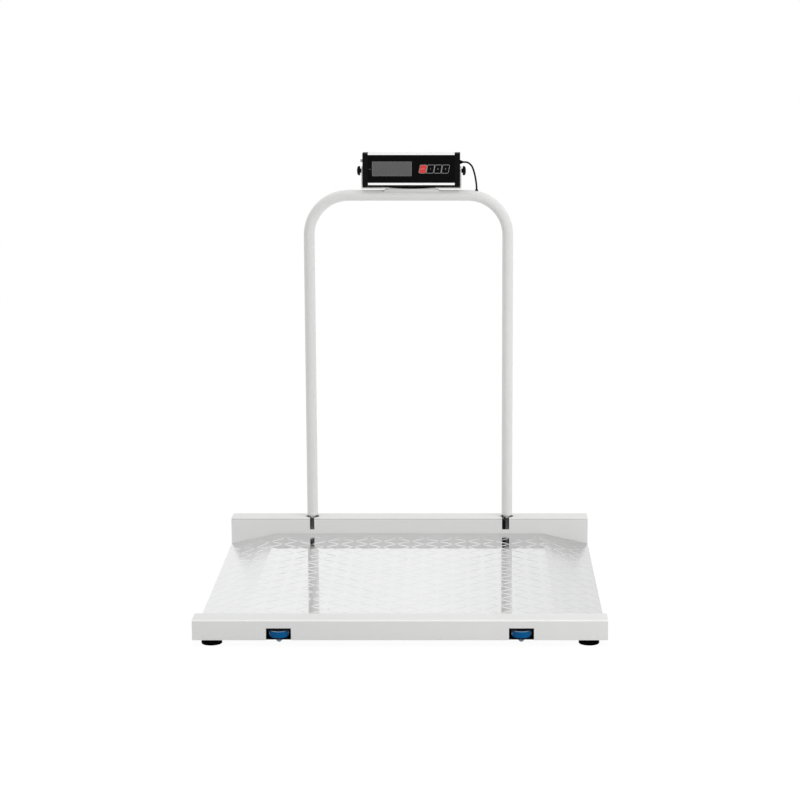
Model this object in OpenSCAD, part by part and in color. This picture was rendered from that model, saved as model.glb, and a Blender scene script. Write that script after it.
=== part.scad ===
// Low platform scale for weighing a person in a wheelchair.
// The chair rolls along X over a tread-plate deck between two guards. A folding handrail
// stands in the rear guard and carries a tilting weight indicator.
// Millimetres, Z up, +X to the right, the front guard on the -Y side.

/* [Platform] */
// Length of the platform along the way the chair rolls
platform_w = 1000; // [900:10:1200]
// Depth of the platform over both guards
platform_d = 1000; // [900:10:1200]
// Depth of each guard channel
guard_d = 65; // [60:1:80]
// Height of the front guard channel
front_guard_h = 49; // [47:1:60]
// Height of the rear guard channel
rear_guard_h = 77; // [74:1:95]
// Bottom of the guards above the floor
ground_gap = 16; // [14:1:24]
// Sheet thickness of the guards
sheet_t = 2; // [1.5:0.5:3]
// Outside radius of the bends in the guards
sheet_bend_r = 3; // [3:0.5:5]

/* [Deck] */
// Thickness of the aluminium tread plate
deck_t = 4; // [3:0.5:6]
// Top of the deck above the bottom of the guards
deck_rise = 33; // [31:1:38]
// Length of each ramp bent down at the deck's ends
ramp_l = 125; // [100:5:160]
// Top of the ramp's toe above the bottom of the guards
toe_rise = 4.5; // [4:0.5:8]
// Gap between the deck's long edges and the guards
deck_gap = 0.5; // [0.2:0.1:2]
// Width of each hollow beam under the deck
beam_w = 40; // [30:1:60]
// Height of each hollow beam
beam_h = 25; // [20:1:27]
// Wall of the hollow beams
beam_t = 2; // [1.5:0.5:3]
// Distance of the inner pair of beams from the middle
beam_in_x = 115; // [95:5:150]
// Distance of the outer pair of beams from the ramps' upper edges
beam_out_in = 40; // [30:5:60]
// Width of the bars under the ramps
ramp_bar_w = 30; // [20:1:40]
// Distance of the ramp bars from the ends of the platform
ramp_bar_in = 45; // [30:1:60]

/* [Feet and load cells] */
// Distance of the feet from the ends of the platform
foot_in = 44; // [36:1:60]
// Diameter of the rubber foot
foot_d = 50; // [40:1:55]
// Height of the rubber foot
foot_h = 10; // [8:0.5:12]
// Diameter of the foot's threaded stud
stud_d = 10; // [8:1:12]
// Length of each load cell
cell_l = 130; // [120:1:150]
// Width of each load cell
cell_w = 30; // [24:1:36]
// Height of each load cell
cell_h = 22; // [20:1:24]
// Bottom of the load cells above the bottom of the guards
cell_rise = 10; // [9:1:12]
// Diameter of the two flexure holes in a load cell
flexure_d = 15; // [12:1:17]
// Diameter of the load cell screws
cell_screw_d = 8; // [6:1:8]
// Distance between the two screws of a load cell
cell_screw_pitch = 25; // [22:1:30]

/* [Transport wheels] */
// Distance of the wheels from the ends of the platform
wheel_in = 208; // [195:1:250]
// Diameter of the wheels
wheel_d = 48; // [40:1:50]
// Width of the wheel's tread
wheel_w = 16; // [12:1:17]
// How far a wheel stands out of the front guard
wheel_out = 5.5; // [3:0.5:9]
// Height of the wheel's underside above the bottom of the guards
wheel_rise = 6; // [5:0.5:10]
// Diameter of the wheel axles
axle_d = 8; // [6:1:10]
// Width of the notches in the front guard
notch_w = 60; // [56:1:80]
// Height of the notches in the front guard
notch_h = 29.5; // [28:0.5:32]

/* [Handrail] */
// Distance between the middles of the rail's legs
rail_span = 547; // [450:1:600]
// Height of the middle of the top tube above the floor
rail_z = 997; // [850:1:1100]
// Distance of the legs behind the rear guard's front face
rail_back = 30; // [28:1:32]
// Diameter of the rail's tube
tube_d = 30; // [26:1:32]
// Wall of the rail's tube
tube_t = 2; // [1.5:0.5:3]
// Bend radius of the tube's middle line
tube_bend = 110; // [90:5:140]
// Diameter of the round holes in the rear guard
keyhole_d = 36.6; // [34:0.1:38]
// Width of the left slot in the rear guard
slot_left_w = 12; // [11:0.5:20]
// Width of the right slot in the rear guard
slot_right_w = 20; // [18:0.5:24]
// How far the right slot's middle lies inward of the leg
slot_right_in = 4; // [0:0.5:5]
// Depth of the slots below the top of the rear guard
slot_h = 32; // [28:0.5:36]
// Thickness of the tongues at the rail's feet
tongue_t = 8; // [6:0.5:9]
// Width of the tongues at the rail's feet
tongue_w = 22; // [18:1:24]
// Lower end of the round tube above the rear guard
tube_clear = 7; // [6:0.5:12]
// Length of the swaged end between tube and tongue
swage_l = 10; // [8:1:12]
// Depth of the pivot below the top of the rear guard
pivot_drop = 31; // [30:1:34]
// Distance of the pivot behind the rear guard's front face
pivot_back = 12; // [12:0.5:13]
// Diameter of the pivot pins
pin_d = 8; // [6:1:8]
// How far the pins rise in their slots as the rail folds
pin_lift = 16; // [14:1:18]

/* [Indicator] */
// Distance of the indicator to the right of the rail's middle
indicator_x = 9; // [0:1:9]
// Length of the indicator over its end caps
case_l = 267; // [250:1:300]
// Height of the indicator's case
case_h = 92; // [92:1:104]
// Depth of the indicator's case
case_d = 44; // [42:1:60]
// Wall of the case
case_t = 2; // [1.5:0.5:2.5]
// Width of the bevel along the case's lower front edge
case_bevel = 5; // [3:0.5:6]
// Height of the case's upper lip
lip_top = 4.5; // [4:0.5:6]
// Height of the case's lower lip over the bevel
lip_low = 6.5; // [5:0.5:8]
// Width of each end cap
cap_w = 15; // [12:1:18]
// Thickness of the face panel
panel_t = 2.5; // [2:0.5:3]
// Width of the display window
window_w = 107; // [90:1:115]
// Height of the display window
window_h = 38; // [30:1:44]
// Distance of the window from the face's left end
window_in = 12; // [9:0.5:13]
// Distance of the window's top below the upper lip
window_drop = 19; // [12:0.5:22]
// Width of a key
key_w = 17.5; // [15:0.5:18.5]
// Height of a key
key_h = 21; // [16:0.5:24]
// Distance between keys
key_pitch = 20.5; // [20:0.5:23]
// How far a key's upper edge leans to the right
key_lean = 4; // [0:0.5:6]
// Distance of the last key's middle from the face's right end
key_in = 25; // [22:0.5:28]
// Distance of the keys' top below the upper lip
key_drop = 28; // [22:0.5:34]
// How far a key travels
key_travel = 0.4; // [0.2:0.1:0.6]
// Thickness of the bracket's plate
bracket_t = 3; // [2:0.5:4]
// Depth of the bracket's plate
bracket_d = 24; // [20:1:26]
// Gap between the case and the bracket's base
case_gap = 2.5; // [2:0.5:5]
// Length of the saddle plate on the rail
saddle_l = 149; // [130:1:180]
// Height of the saddle plate over the tube
saddle_t = 4; // [3:0.5:6]
// Distance of the tilt axis below the middle of the case
tilt_drop = 3; // [0:0.5:3]
// Diameter of the clamp knobs
knob_d = 25; // [22:1:30]
// Thickness of the knob's head
knob_t = 9; // [7:0.5:12]
// Length of the knob's neck
knob_neck = 3; // [2:0.5:5]
// Diameter of the knob's stud
knob_stud_d = 6; // [5:1:8]

/* [Cable] */
// Diameter of the indicator's cable
cable_d = 5; // [4:0.5:6]
// Height of the cable gland over the tilt axis
gland_up = 23.5; // [20:0.5:26]
// Length of the cable gland
gland_l = 7; // [6:0.5:10]
// Distance of the cable's boot beyond the start of the rail's right bend
boot_off = 24; // [15:0.5:30]
// Diameter of the load cell cables
cell_cable_d = 4; // [3:0.5:5]
// Distance of the load cell cables' wall holes from the middle
cable_hole_x = 60; // [45:5:70]

/* [Hidden] */

$fn = 64;
eps = 0.5;
// Radial play of a turning fit
play = 0.05;
// Gap between pieces that move past each other
gap = 0.4;

white = [0.93, 0.93, 0.92];
bare_steel = [0.55, 0.56, 0.57];
plate_grey = [0.80, 0.81, 0.82];
black = [0.06, 0.06, 0.06];
blue = [0.03, 0.30, 0.50];

// Heights of the platform
front_top = ground_gap + front_guard_h;
rear_top = ground_gap + rear_guard_h;
deck_top = ground_gap + deck_rise;
deck_under = deck_top - deck_t;
toe_top = ground_gap + toe_rise;

// Depths: the wheels count in the outline, so the outline's middle is the origin
face_y = -(platform_d - wheel_out) / 2;
rear_y = face_y + platform_d - guard_d;
deck_y0 = face_y + guard_d;
front_mid_y = face_y + guard_d / 2;
rear_mid_y = rear_y + guard_d / 2;
half_w = platform_w / 2;
beam_out_x = half_w - ramp_l - beam_out_in;

// Load cells and feet: a cell reaches past its foot, and its stud ends inside the cell
foot_x = half_w - foot_in;
cell_z = ground_gap + cell_rise;
cell_over = 20;
cell_out_x = foot_x + cell_over;
cell_in_x = cell_out_x - cell_l;
block_edge = 4.5;
block_l = cell_screw_pitch + 2 * (cell_screw_d + block_edge);
cell_screw_x = cell_in_x + block_l / 2;
stud_base_h = 3;
stud_short = 4;
stud_top_z = cell_z + cell_h - stud_short;
lock_nut_h = stud_d / 2;
nut_ratio = 1.7;
cell_cable_z = cell_z + cell_h / 2;

// Wheels
wheel_x = half_w - wheel_in;
wheel_y = face_y - wheel_out + wheel_d / 2;
wheel_z0 = ground_gap + wheel_rise;
wheel_z1 = wheel_z0 + wheel_w;
arm_gap = 2;
arm_t = 3;
arm_low_z = wheel_z0 - arm_gap - arm_t;
arm_top_z = wheel_z1 + arm_gap;
axle_nut_h = 6.5;
axle_tip = 2.5;
axle_head_h = 5.3;
axle_hex = axle_d + 5;
hex_ratio = 1.155;

// Junction box under the deck, in front of the rear guard
box_w = 110;
box_d = 74;
box_wall = 2.5;
box_lid_t = 2.5;
box_rise = 5;
box_back = 20;
box_bottom = ground_gap + box_rise;
box_y1 = rear_y - box_back;
box_y0 = box_y1 - box_d;
box_screw_in = 6;
box_screw_l = 8;

// Load cell cables: their run under the front guard's top, and their holes in both guards
run_drop = 6;
run_back = 16;
run_z = front_top - sheet_t - run_drop;
run_y = front_mid_y + run_back;
cable_hole_drop = 9;
cable_hole_z = deck_under - cable_hole_drop;
cable_hole_d = 2 * cell_cable_d;

// Rail
leg_x = rail_span / 2;
rail_y = rear_y + rail_back;
tube_low = rear_top + tube_clear;
swage_low = tube_low - swage_l;
bend_x = leg_x - tube_bend;
bend_z = rail_z - tube_bend;
tube_top = rail_z + tube_d / 2;
pivot_y = rear_y + pivot_back;
pivot_z = rear_top - pivot_drop;
foot_wall = 4.5;
foot_r = pin_d / 2 + foot_wall;
tongue_play = 0.6;
ear_in = tongue_t / 2 + tongue_play;
ear_t = 3;
ear_out = ear_in + ear_t;
tongue_y0 = rail_y - tongue_w / 2;
tongue_y1 = rail_y + tongue_w / 2;
ear_edge = 6;
ear_low = pivot_z - pin_d / 2 - ear_edge;
ear_top = rear_top - sheet_t - 5;
ear_flange = 12;
flange_gap = 1;
pin_head_t = 2;
pin_head_r = pin_d / 2 + 2;

// Indicator
plate_z = tube_top + saddle_t;
case_z0 = plate_z + bracket_t + case_gap;
case_z1 = case_z0 + case_h;
tilt_z = (case_z0 + case_z1) / 2 - tilt_drop;
case_y0 = rail_y - case_d / 2;
case_y1 = case_y0 + case_d;
body_l = case_l - 2 * cap_w;
lip_t = 1.5;
panel_y = case_y0 + lip_t;
panel_y1 = panel_y + panel_t;
lcd_t = 6;
board_gap = 12;
board_y = panel_y1 + board_gap;
board_t = 1.6;
board_in = 12;
fit_gap = 0.3;
face_top = case_z1 - lip_top;
face_low = case_z0 + case_bevel + lip_low;
panel_hidden = 2.5;
panel_low = face_low - panel_hidden;
panel_high = case_z1 - case_t - 0.2;
window_back = 0.4;
window_frame = 4;
battery_w = 110;
battery_h = 45;
battery_left = 60;
battery_rise = 16;
window_x0 = indicator_x - body_l / 2 + window_in;
window_z1 = face_top - window_drop;
key_x = indicator_x + body_l / 2 - key_in;
key_z = face_top - key_drop - key_h / 2;
key_t = 1.6;
key_count = 4;
key_y = panel_y - key_travel / 2;
cap_wall = 4;
cap_screw_d = 3;
cap_screw_y = case_d / 2 - case_t - 3.5;
cap_screw_front = lip_t + panel_t + 2;
cap_screw_z = case_h / 2 - case_t - 7;
port_r = 2.9;
port_web = 2;
port_sunk = 2;
cap_face = case_l / 2;
ear_gap = 0.4;
knob_gap = 0.3;
knob_face = cap_face + ear_gap + bracket_t + knob_gap;
knob_wall = 2;
boss_r = 8;
insert_l = 11;
bracket_in = cap_face + ear_gap;
bracket_screw_d = 5;
bracket_screw_in = 26;
bracket_screw_x = saddle_l / 2 - bracket_screw_in;
saddle_w = 28;
saddle_side = 4;
saddle_slope = 12;
socket_up = 4;
socket_l = 6;
socket_r = 3.9;
socket_bore_r = 2.7;
socket_floor = 1;

// Route of the indicator's free cable, from the gland to the boot on the rail: x and height
cable_route = [[149.5, 1088], [155, 1088], [160, 1087.6], [164.8, 1086], [169, 1083],
    [172.8, 1079], [176, 1074], [178.4, 1068], [180.4, 1061.5], [182.2, 1055],
    [183.7, 1048], [185, 1041], [186.1, 1034], [186.9, 1027], [187.5, 1020], [187.5, 1013.8]];

// Boot where the cable enters the rail: its flange seats on the bend's outer side
boot_x = bend_x + boot_off;
boot_flange_h = 2.6;
boot_flange_r = 5;
boot_stem_r = 3.5;
boot_seat_gap = 0.3;
boot_seat = bend_z + boot_seat_gap
    + sqrt(pow(tube_bend + tube_d / 2, 2) - pow(boot_off - boot_flange_r, 2));
boot_low = rail_z + 2;

// A 2D outline in Y and Z, drawn out along X from x0 to x1
module along_x(x0, x1) {
    translate([x0, 0, 0]) rotate([90, 0, 90]) linear_extrude(x1 - x0) children();
}

// A 2D outline in X and Z, drawn out along Y from y0 to y1
module along_y(y0, y1) {
    translate([0, y1, 0]) rotate([90, 0, 0]) linear_extrude(y1 - y0) children();
}

// A cylinder along X from x0 to x1
module rod_x(r, x0, x1) {
    translate([x0, 0, 0]) rotate([0, 90, 0]) cylinder(r = r, h = x1 - x0);
}

// A hexagon prism, size across flats
module hex(af, h) {
    cylinder(d = af * hex_ratio, h = h, $fn = 6);
}

// Both ends of the platform, or both legs: the children are mirrored
module both_ends() {
    for (s = [0, 1]) mirror([s, 0, 0]) children();
}

// Folded channel, open below, from its lower front corner: depth and height
module channel(d, h) {
    difference() {
        union() {
            square([d, h - sheet_bend_r]);
            translate([sheet_bend_r, 0]) square([d - 2 * sheet_bend_r, h]);
            for (y = [sheet_bend_r, d - sheet_bend_r])
                translate([y, h - sheet_bend_r]) circle(sheet_bend_r);
        }
        translate([sheet_t, -eps]) square([d - 2 * sheet_t, h - sheet_t + eps]);
    }
}

module deck_plate() {
    drop = deck_top - toe_top;
    slant = deck_t * sqrt(1 + pow(drop / ramp_l, 2));
    knee = half_w - ramp_l;
    under_knee = knee - (slant - deck_t) * ramp_l / drop;
    color(plate_grey)
        along_y(deck_y0 + deck_gap, rear_y - deck_gap)
            polygon([[-half_w, toe_top], [-knee, deck_top], [knee, deck_top],
                [half_w, toe_top], [half_w, toe_top - slant], [under_knee, deck_under],
                [-under_knee, deck_under], [-half_w, toe_top - slant]]);
}

// Height of the ramp's underside at a distance from the middle
function ramp_under(x) = deck_top - (x - half_w + ramp_l) * (deck_top - toe_top) / ramp_l
    - deck_t * sqrt(1 + pow((deck_top - toe_top) / ramp_l, 2));

module front_guard() {
    color(white)
        difference() {
            along_x(-half_w, half_w)
                translate([face_y, ground_gap]) channel(guard_d, front_guard_h);
            both_ends() {
                translate([wheel_x - notch_w / 2, face_y - eps, ground_gap - eps])
                    cube([notch_w, sheet_t + 2 * eps, notch_h + eps]);
                translate([cable_hole_x, deck_y0 + eps, cable_hole_z])
                    rotate([90, 0, 0]) cylinder(d = cable_hole_d, h = sheet_t + 2 * eps);
            }
        }
}

module keyhole(x, slot_w, shift) {
    translate([x, rail_y, rear_top - sheet_t - eps])
        cylinder(d = keyhole_d, h = sheet_t + 2 * eps);
    translate([x - shift - slot_w / 2, rear_y - eps, rear_top - slot_h])
        cube([slot_w, sheet_t + 2 * eps, slot_h + eps]);
    translate([x - shift - slot_w / 2, rear_y - eps, rear_top - sheet_t - eps])
        cube([slot_w, rail_back, sheet_t + 2 * eps]);
}

module rear_guard() {
    color(white)
        difference() {
            along_x(-half_w, half_w)
                translate([rear_y, ground_gap]) channel(guard_d, rear_guard_h);
            keyhole(-leg_x, slot_left_w, 0);
            keyhole(leg_x, slot_right_w, slot_right_in);
            both_ends()
                translate([cable_hole_x, rear_y + sheet_t + eps, cable_hole_z])
                    rotate([90, 0, 0]) cylinder(d = cable_hole_d, h = sheet_t + 2 * eps);
        }
}

module guard_end_plate(y, h) {
    translate([half_w - sheet_t, y + sheet_t, ground_gap])
        cube([sheet_t, guard_d - 2 * sheet_t, h - sheet_t]);
}

module guard_end_plates() {
    color(white)
        both_ends() {
            guard_end_plate(face_y, front_guard_h);
            guard_end_plate(rear_y, rear_guard_h);
        }
}

module deck_beams() {
    bar_x1 = half_w - ramp_bar_in;
    bar_x0 = bar_x1 - ramp_bar_w;
    bar_low = ground_gap + 2;
    color(white)
        both_ends() {
            for (x = [beam_in_x, beam_out_x])
                along_y(deck_y0, rear_y)
                    translate([x - beam_w / 2, deck_under - beam_h])
                        difference() {
                            square([beam_w, beam_h]);
                            translate([beam_t, beam_t])
                                square([beam_w - 2 * beam_t, beam_h - 2 * beam_t]);
                        }
            along_y(deck_y0, rear_y)
                polygon([[bar_x0, ramp_under(bar_x0)], [bar_x1, ramp_under(bar_x1)],
                    [bar_x1, bar_low], [bar_x0, bar_low]]);
        }
}

// Load cell of the right end; the left one is mirrored
module load_cell(y) {
    mid = (cell_in_x + block_l + foot_x) / 2 - stud_d / 4;
    flexure_x = 0.6 * flexure_d;
    color(bare_steel)
        difference() {
            translate([cell_in_x, y - cell_w / 2, cell_z]) cube([cell_l, cell_w, cell_h]);
            for (x = [-1, 1])
                translate([mid + x * flexure_x, y - cell_w, cell_z + cell_h / 2])
                    rotate([-90, 0, 0]) cylinder(d = flexure_d, h = 2 * cell_w);
            translate([foot_x, y, cell_z - eps])
                cylinder(r = stud_d / 2 + play, h = cell_h + 2 * eps);
            for (x = [-1, 1])
                translate([cell_screw_x + x * cell_screw_pitch / 2, y, cell_z - eps])
                    cylinder(r = cell_screw_d / 2 + play, h = cell_h + 2 * eps);
        }
}

module load_cell_block(y, top) {
    z0 = cell_z + cell_h;
    difference() {
        translate([cell_in_x, y - cell_w / 2, z0]) cube([block_l, cell_w, top - sheet_t - z0]);
        for (x = [-1, 1])
            translate([cell_screw_x + x * cell_screw_pitch / 2, y, z0 - eps])
                cylinder(r = cell_screw_d / 2 + play, h = cell_screw_d + eps);
    }
}

module load_cell_blocks() {
    color(bare_steel)
        both_ends() {
            load_cell_block(front_mid_y, front_top);
            load_cell_block(rear_mid_y, rear_top);
        }
}

// Socket head screw along +Z, its head below
module cap_screw(d, l) {
    head_d = 1.6 * d;
    key_af = 0.75 * d;
    difference() {
        union() {
            cylinder(d = d, h = l);
            translate([0, 0, -d]) cylinder(d = head_d, h = d);
        }
        translate([0, 0, -d - eps]) hex(key_af, d / 2 + eps);
    }
}

module load_cell_screws() {
    color(bare_steel)
        both_ends()
            for (y = [front_mid_y, rear_mid_y], x = [-1, 1])
                translate([cell_screw_x + x * cell_screw_pitch / 2, y, cell_z])
                    cap_screw(cell_screw_d, cell_h + cell_screw_d - 1);
}

module foot_lock_nuts() {
    color(bare_steel)
        both_ends()
            for (y = [front_mid_y, rear_mid_y])
                translate([foot_x, y, cell_z - lock_nut_h])
                    difference() {
                        hex(nut_ratio * stud_d, lock_nut_h);
                        translate([0, 0, -eps])
                            cylinder(r = stud_d / 2 + play, h = lock_nut_h + 2 * eps);
                    }
}

module foot_pad(x, y) {
    edge = 2;
    color(black)
        translate([x, y, 0])
            rotate_extrude()
                polygon([[0, 0], [foot_d / 2 - edge / 2, 0], [foot_d / 2, edge / 2],
                    [foot_d / 2, foot_h - 2 * edge], [foot_d / 2 - 2 * edge, foot_h],
                    [0, foot_h]]);
}

module foot_stud(x, y) {
    color(bare_steel)
        translate([x, y, foot_h]) {
            hex(nut_ratio * stud_d, stud_base_h);
            cylinder(d = stud_d, h = stud_top_z - foot_h);
        }
}

// Rings of a round tube along a list of points: each ring stands square to the route
function unit(v) = v / norm(v);
function route_dir(p, i) = unit(p[min(i + 1, len(p) - 1)] - p[max(i - 1, 0)]);
function side_dir(t) = unit(cross(t, abs(t[1]) < 0.9 ? [0, 1, 0] : [1, 0, 0]));
function ring(c, t, r, n) = let (u = side_dir(t), v = cross(t, u))
    [for (k = [0 : n - 1]) c + r * (cos(360 * k / n) * u + sin(360 * k / n) * v)];

module swept_tube(p, d, n) {
    m = len(p);
    points = [for (i = [0 : m - 1]) each ring(p[i], route_dir(p, i), d / 2, n)];
    sides = [for (i = [0 : m - 2], k = [0 : n - 1])
        let (a = i * n + k, b = i * n + (k + 1) % n) each [[a, b + n, b], [a, a + n, b + n]]];
    start = [for (k = [1 : n - 2]) [0, k, k + 1]];
    end = [for (k = [1 : n - 2]) [(m - 1) * n, (m - 1) * n + k + 1, (m - 1) * n + k]];
    polyhedron(points, concat(sides, start, end));
}

// A cable in straight runs, with each corner cut by two short runs
corner_share = 0.29;
function cut_corners(p, c) = [for (i = [0 : len(p) - 1])
    each (i == 0 || i == len(p) - 1) ? [p[i]]
        : [p[i] + c * unit(p[i - 1] - p[i]), p[i] + corner_share * c * (unit(p[i - 1] - p[i])
            + unit(p[i + 1] - p[i])), p[i] + c * unit(p[i + 1] - p[i])]];

module load_cell_cables() {
    front_corner = 6;
    rear_corner = 3;
    side_x = box_w / 2 - 14;
    rise_x = cell_in_x - 14;
    step_x = rise_x - 10;
    fall_x = cable_hole_x + 20;
    out_y = deck_y0 + 40;
    turn_y = deck_y0 + 90;
    back_y = rear_y - 8;
    front_run = [[cell_in_x, front_mid_y, cell_cable_z], [rise_x, front_mid_y, cell_cable_z],
        [step_x, run_y, run_z], [fall_x, run_y, run_z],
        [cable_hole_x, run_y, cable_hole_z], [cable_hole_x, out_y, cable_hole_z],
        [side_x, turn_y, cable_hole_z], [side_x, box_y0, cable_hole_z]];
    rear_run = [[cell_in_x, rear_mid_y, cell_cable_z], [cable_hole_x, rear_mid_y, cell_cable_z],
        [cable_hole_x, back_y, cable_hole_z], [side_x, back_y, cable_hole_z],
        [side_x, box_y1, cable_hole_z]];
    color(black)
        both_ends() {
            swept_tube(cut_corners(front_run, front_corner), cell_cable_d, 8);
            swept_tube(cut_corners(rear_run, rear_corner), cell_cable_d, 8);
        }
}

// Places of the lid's four screws
module box_corners(z) {
    for (x = [-1, 1], y = [box_y0 + box_screw_in, box_y1 - box_screw_in])
        translate([x * (box_w / 2 - box_screw_in), y, z]) children();
}

module junction_box() {
    post_r = box_screw_in - box_wall + 1;
    hole_l = box_screw_l + 2;
    color(black)
        difference() {
            translate([-box_w / 2, box_y0, box_bottom])
                cube([box_w, box_d, deck_under - box_bottom]);
            translate([-box_w / 2 + box_wall, box_y0 + box_wall, box_bottom - eps])
                cube([box_w - 2 * box_wall, box_d - 2 * box_wall,
                    deck_under - box_bottom - box_wall + eps]);
        }
    color(black)
        box_corners(box_bottom)
            difference() {
                cylinder(r = post_r, h = deck_under - box_bottom - box_wall);
                translate([0, 0, -eps]) cylinder(d = cap_screw_d + 2 * play, h = hole_l);
            }
}

module junction_lid() {
    color(black)
        difference() {
            translate([-box_w / 2, box_y0, box_bottom - box_lid_t])
                cube([box_w, box_d, box_lid_t]);
            box_corners(box_bottom - box_lid_t - eps)
                cylinder(d = cap_screw_d + 2 * play, h = box_lid_t + 2 * eps);
        }
}

module junction_board() {
    edge_x = box_wall + 10;
    edge_y = box_wall + 8;
    color("darkgreen")
        translate([-box_w / 2 + edge_x, box_y0 + edge_y, deck_under - box_wall - board_t])
            cube([box_w - 2 * edge_x, box_d - 2 * edge_y, board_t]);
}

module junction_screws() {
    head_h = 1.6;
    color(bare_steel)
        box_corners(box_bottom - box_lid_t) {
            cylinder(d = cap_screw_d, h = box_lid_t + box_screw_l);
            translate([0, 0, -head_h]) cylinder(d = 2 * cap_screw_d, h = head_h);
        }
}

// Bent steel brackets, wider than the notches, that also close the guard off behind the wheels
module wheel_brackets() {
    overlap = 4;
    width = notch_w + 2 * overlap;
    y0 = face_y + sheet_t + fit_gap;
    y1 = deck_y0 - sheet_t;
    color(black)
        both_ends()
            difference() {
                along_x(wheel_x - width / 2, wheel_x + width / 2)
                    difference() {
                        translate([y0, arm_low_z]) square([y1 - y0, arm_top_z + arm_t - arm_low_z]);
                        translate([y0 - eps, arm_low_z + arm_t])
                            square([y1 - arm_t - y0 + eps, arm_top_z - arm_low_z - arm_t]);
                    }
                translate([wheel_x, wheel_y, arm_low_z - eps])
                    cylinder(r = axle_d / 2 + play, h = arm_top_z + arm_t - arm_low_z + 2 * eps);
            }
}

module wheel_axles() {
    z0 = arm_low_z - axle_nut_h - axle_tip;
    z1 = arm_top_z + arm_t;
    color(bare_steel)
        both_ends()
            translate([wheel_x, wheel_y, z0]) {
                cylinder(d = axle_d, h = z1 - z0);
                translate([0, 0, z1 - z0]) hex(axle_hex, axle_head_h);
            }
}

module axle_nuts() {
    color(bare_steel)
        both_ends()
            translate([wheel_x, wheel_y, arm_low_z - axle_nut_h])
                difference() {
                    hex(axle_hex, axle_nut_h);
                    translate([0, 0, -eps])
                        cylinder(r = axle_d / 2 + play, h = axle_nut_h + 2 * eps);
                }
}

module wheel(x) {
    edge = 1.5;
    hub_r = axle_d / 2 + 5;
    hub_out = arm_gap - gap;
    r = wheel_d / 2;
    color(blue)
        translate([x, wheel_y, wheel_z0])
            rotate_extrude()
                polygon([[axle_d / 2 + play, -hub_out], [hub_r, -hub_out], [hub_r, 0],
                    [r - edge, 0], [r, edge], [r, wheel_w - edge], [r - edge, wheel_w],
                    [hub_r, wheel_w], [hub_r, wheel_w + hub_out],
                    [axle_d / 2 + play, wheel_w + hub_out]]);
}

// Upright slot in the ears, in Y and Z: the pivot pin rises in it as the rail folds
module pin_slot() {
    r = pin_d / 2 + play;
    for (z = [pivot_z, pivot_z + pin_lift])
        translate([pivot_y, z]) circle(r);
    translate([pivot_y - r, pivot_z]) square([2 * r, pin_lift]);
}

module pivot_brackets() {
    wall_y = rear_y + sheet_t;
    stop_y = tongue_y1 + fit_gap;
    flange_top = rear_top - sheet_t - flange_gap;
    color(black)
        both_ends()
            translate([leg_x, 0, 0]) {
                for (s = [0, 1]) mirror([s, 0, 0]) {
                    along_x(ear_in, ear_out)
                        difference() {
                            translate([wall_y, ear_low])
                                square([stop_y + ear_t - wall_y, ear_top - ear_low]);
                            pin_slot();
                        }
                    translate([ear_out, wall_y, ear_low])
                        cube([ear_flange, ear_t, flange_top - ear_low]);
                }
                translate([-ear_in, stop_y, ear_low])
                    cube([2 * ear_in, ear_t, ear_top - ear_low]);
            }
}

module rail_pivot_pins() {
    head = ear_out + gap;
    color(bare_steel)
        both_ends()
            translate([leg_x, pivot_y, pivot_z]) {
                rod_x(pin_d / 2, -head, head);
                rod_x(pin_head_r, head, head + pin_head_t);
                rod_x(pin_head_r, -head - pin_head_t, -head);
            }
}

// Solid bar of the rail's shape: two legs, two bends and the top
module rail_bar(r, low) {
    both_ends() {
        translate([leg_x, rail_y, low]) cylinder(r = r, h = bend_z - low);
        translate([bend_x, rail_y, bend_z]) rotate([90, 0, 0])
            rotate_extrude(angle = 90) translate([tube_bend, 0]) circle(r);
    }
    translate([0, rail_y, rail_z]) rod_x(r, -bend_x, bend_x);
}

module handrail_tube() {
    color(white)
        difference() {
            rail_bar(tube_d / 2, tube_low);
            rail_bar(tube_d / 2 - tube_t, tube_low - eps);
            translate([boot_x, rail_y, rail_z]) cylinder(r = boot_stem_r + play, h = tube_d);
        }
}

// The tube's ends are pressed from round to flat
module rail_swages() {
    color(white)
        both_ends()
            hull() {
                translate([leg_x, rail_y, tube_low - 1]) cylinder(d = tube_d, h = 1, $fn = 32);
                translate([leg_x - tongue_t / 2, tongue_y0, swage_low])
                    cube([tongue_t, tongue_w, 0.5]);
            }
}

// A tongue rises from its round foot at the pin and widens back to the leg
module rail_tongues() {
    up = swage_low - pivot_z;
    back = tongue_y1 - pivot_y;
    front = tongue_y0 - pivot_y;
    side_y = 0.6 * foot_r;
    side_z = 0.8 * foot_r;
    neck_z = up / 2 + 6;
    color(bare_steel)
        both_ends()
            difference() {
                along_x(leg_x - tongue_t / 2, leg_x + tongue_t / 2)
                    translate([pivot_y, pivot_z]) {
                        circle(foot_r);
                        polygon([[-side_y, side_z], [front, neck_z], [front, up],
                            [back, up], [back, up / 2], [side_y, -side_z]]);
                    }
                translate([0, pivot_y, pivot_z])
                    rod_x(pin_d / 2 + play, leg_x - tongue_t, leg_x + tongue_t);
            }
}

// Saddle with sloping ends, hollowed below to sit over the top of the tube
module saddle_plate() {
    edge = 0.5;
    half = saddle_l / 2;
    color(white)
        difference() {
            translate([indicator_x, 0, 0])
                along_y(rail_y - saddle_w / 2, rail_y + saddle_w / 2)
                    translate([0, tube_top])
                        polygon([[-half, -saddle_side], [half, -saddle_side], [half, edge],
                            [half - saddle_slope, saddle_t], [saddle_slope - half, saddle_t],
                            [-half, edge]]);
            translate([indicator_x, rail_y, rail_z]) rod_x(tube_d / 2, -saddle_l, saddle_l);
            for (x = [-1, 1])
                translate([indicator_x + x * bracket_screw_x, rail_y, tube_top - eps])
                    cylinder(r = bracket_screw_d / 2 + play, h = saddle_t + 2 * eps);
        }
}

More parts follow.
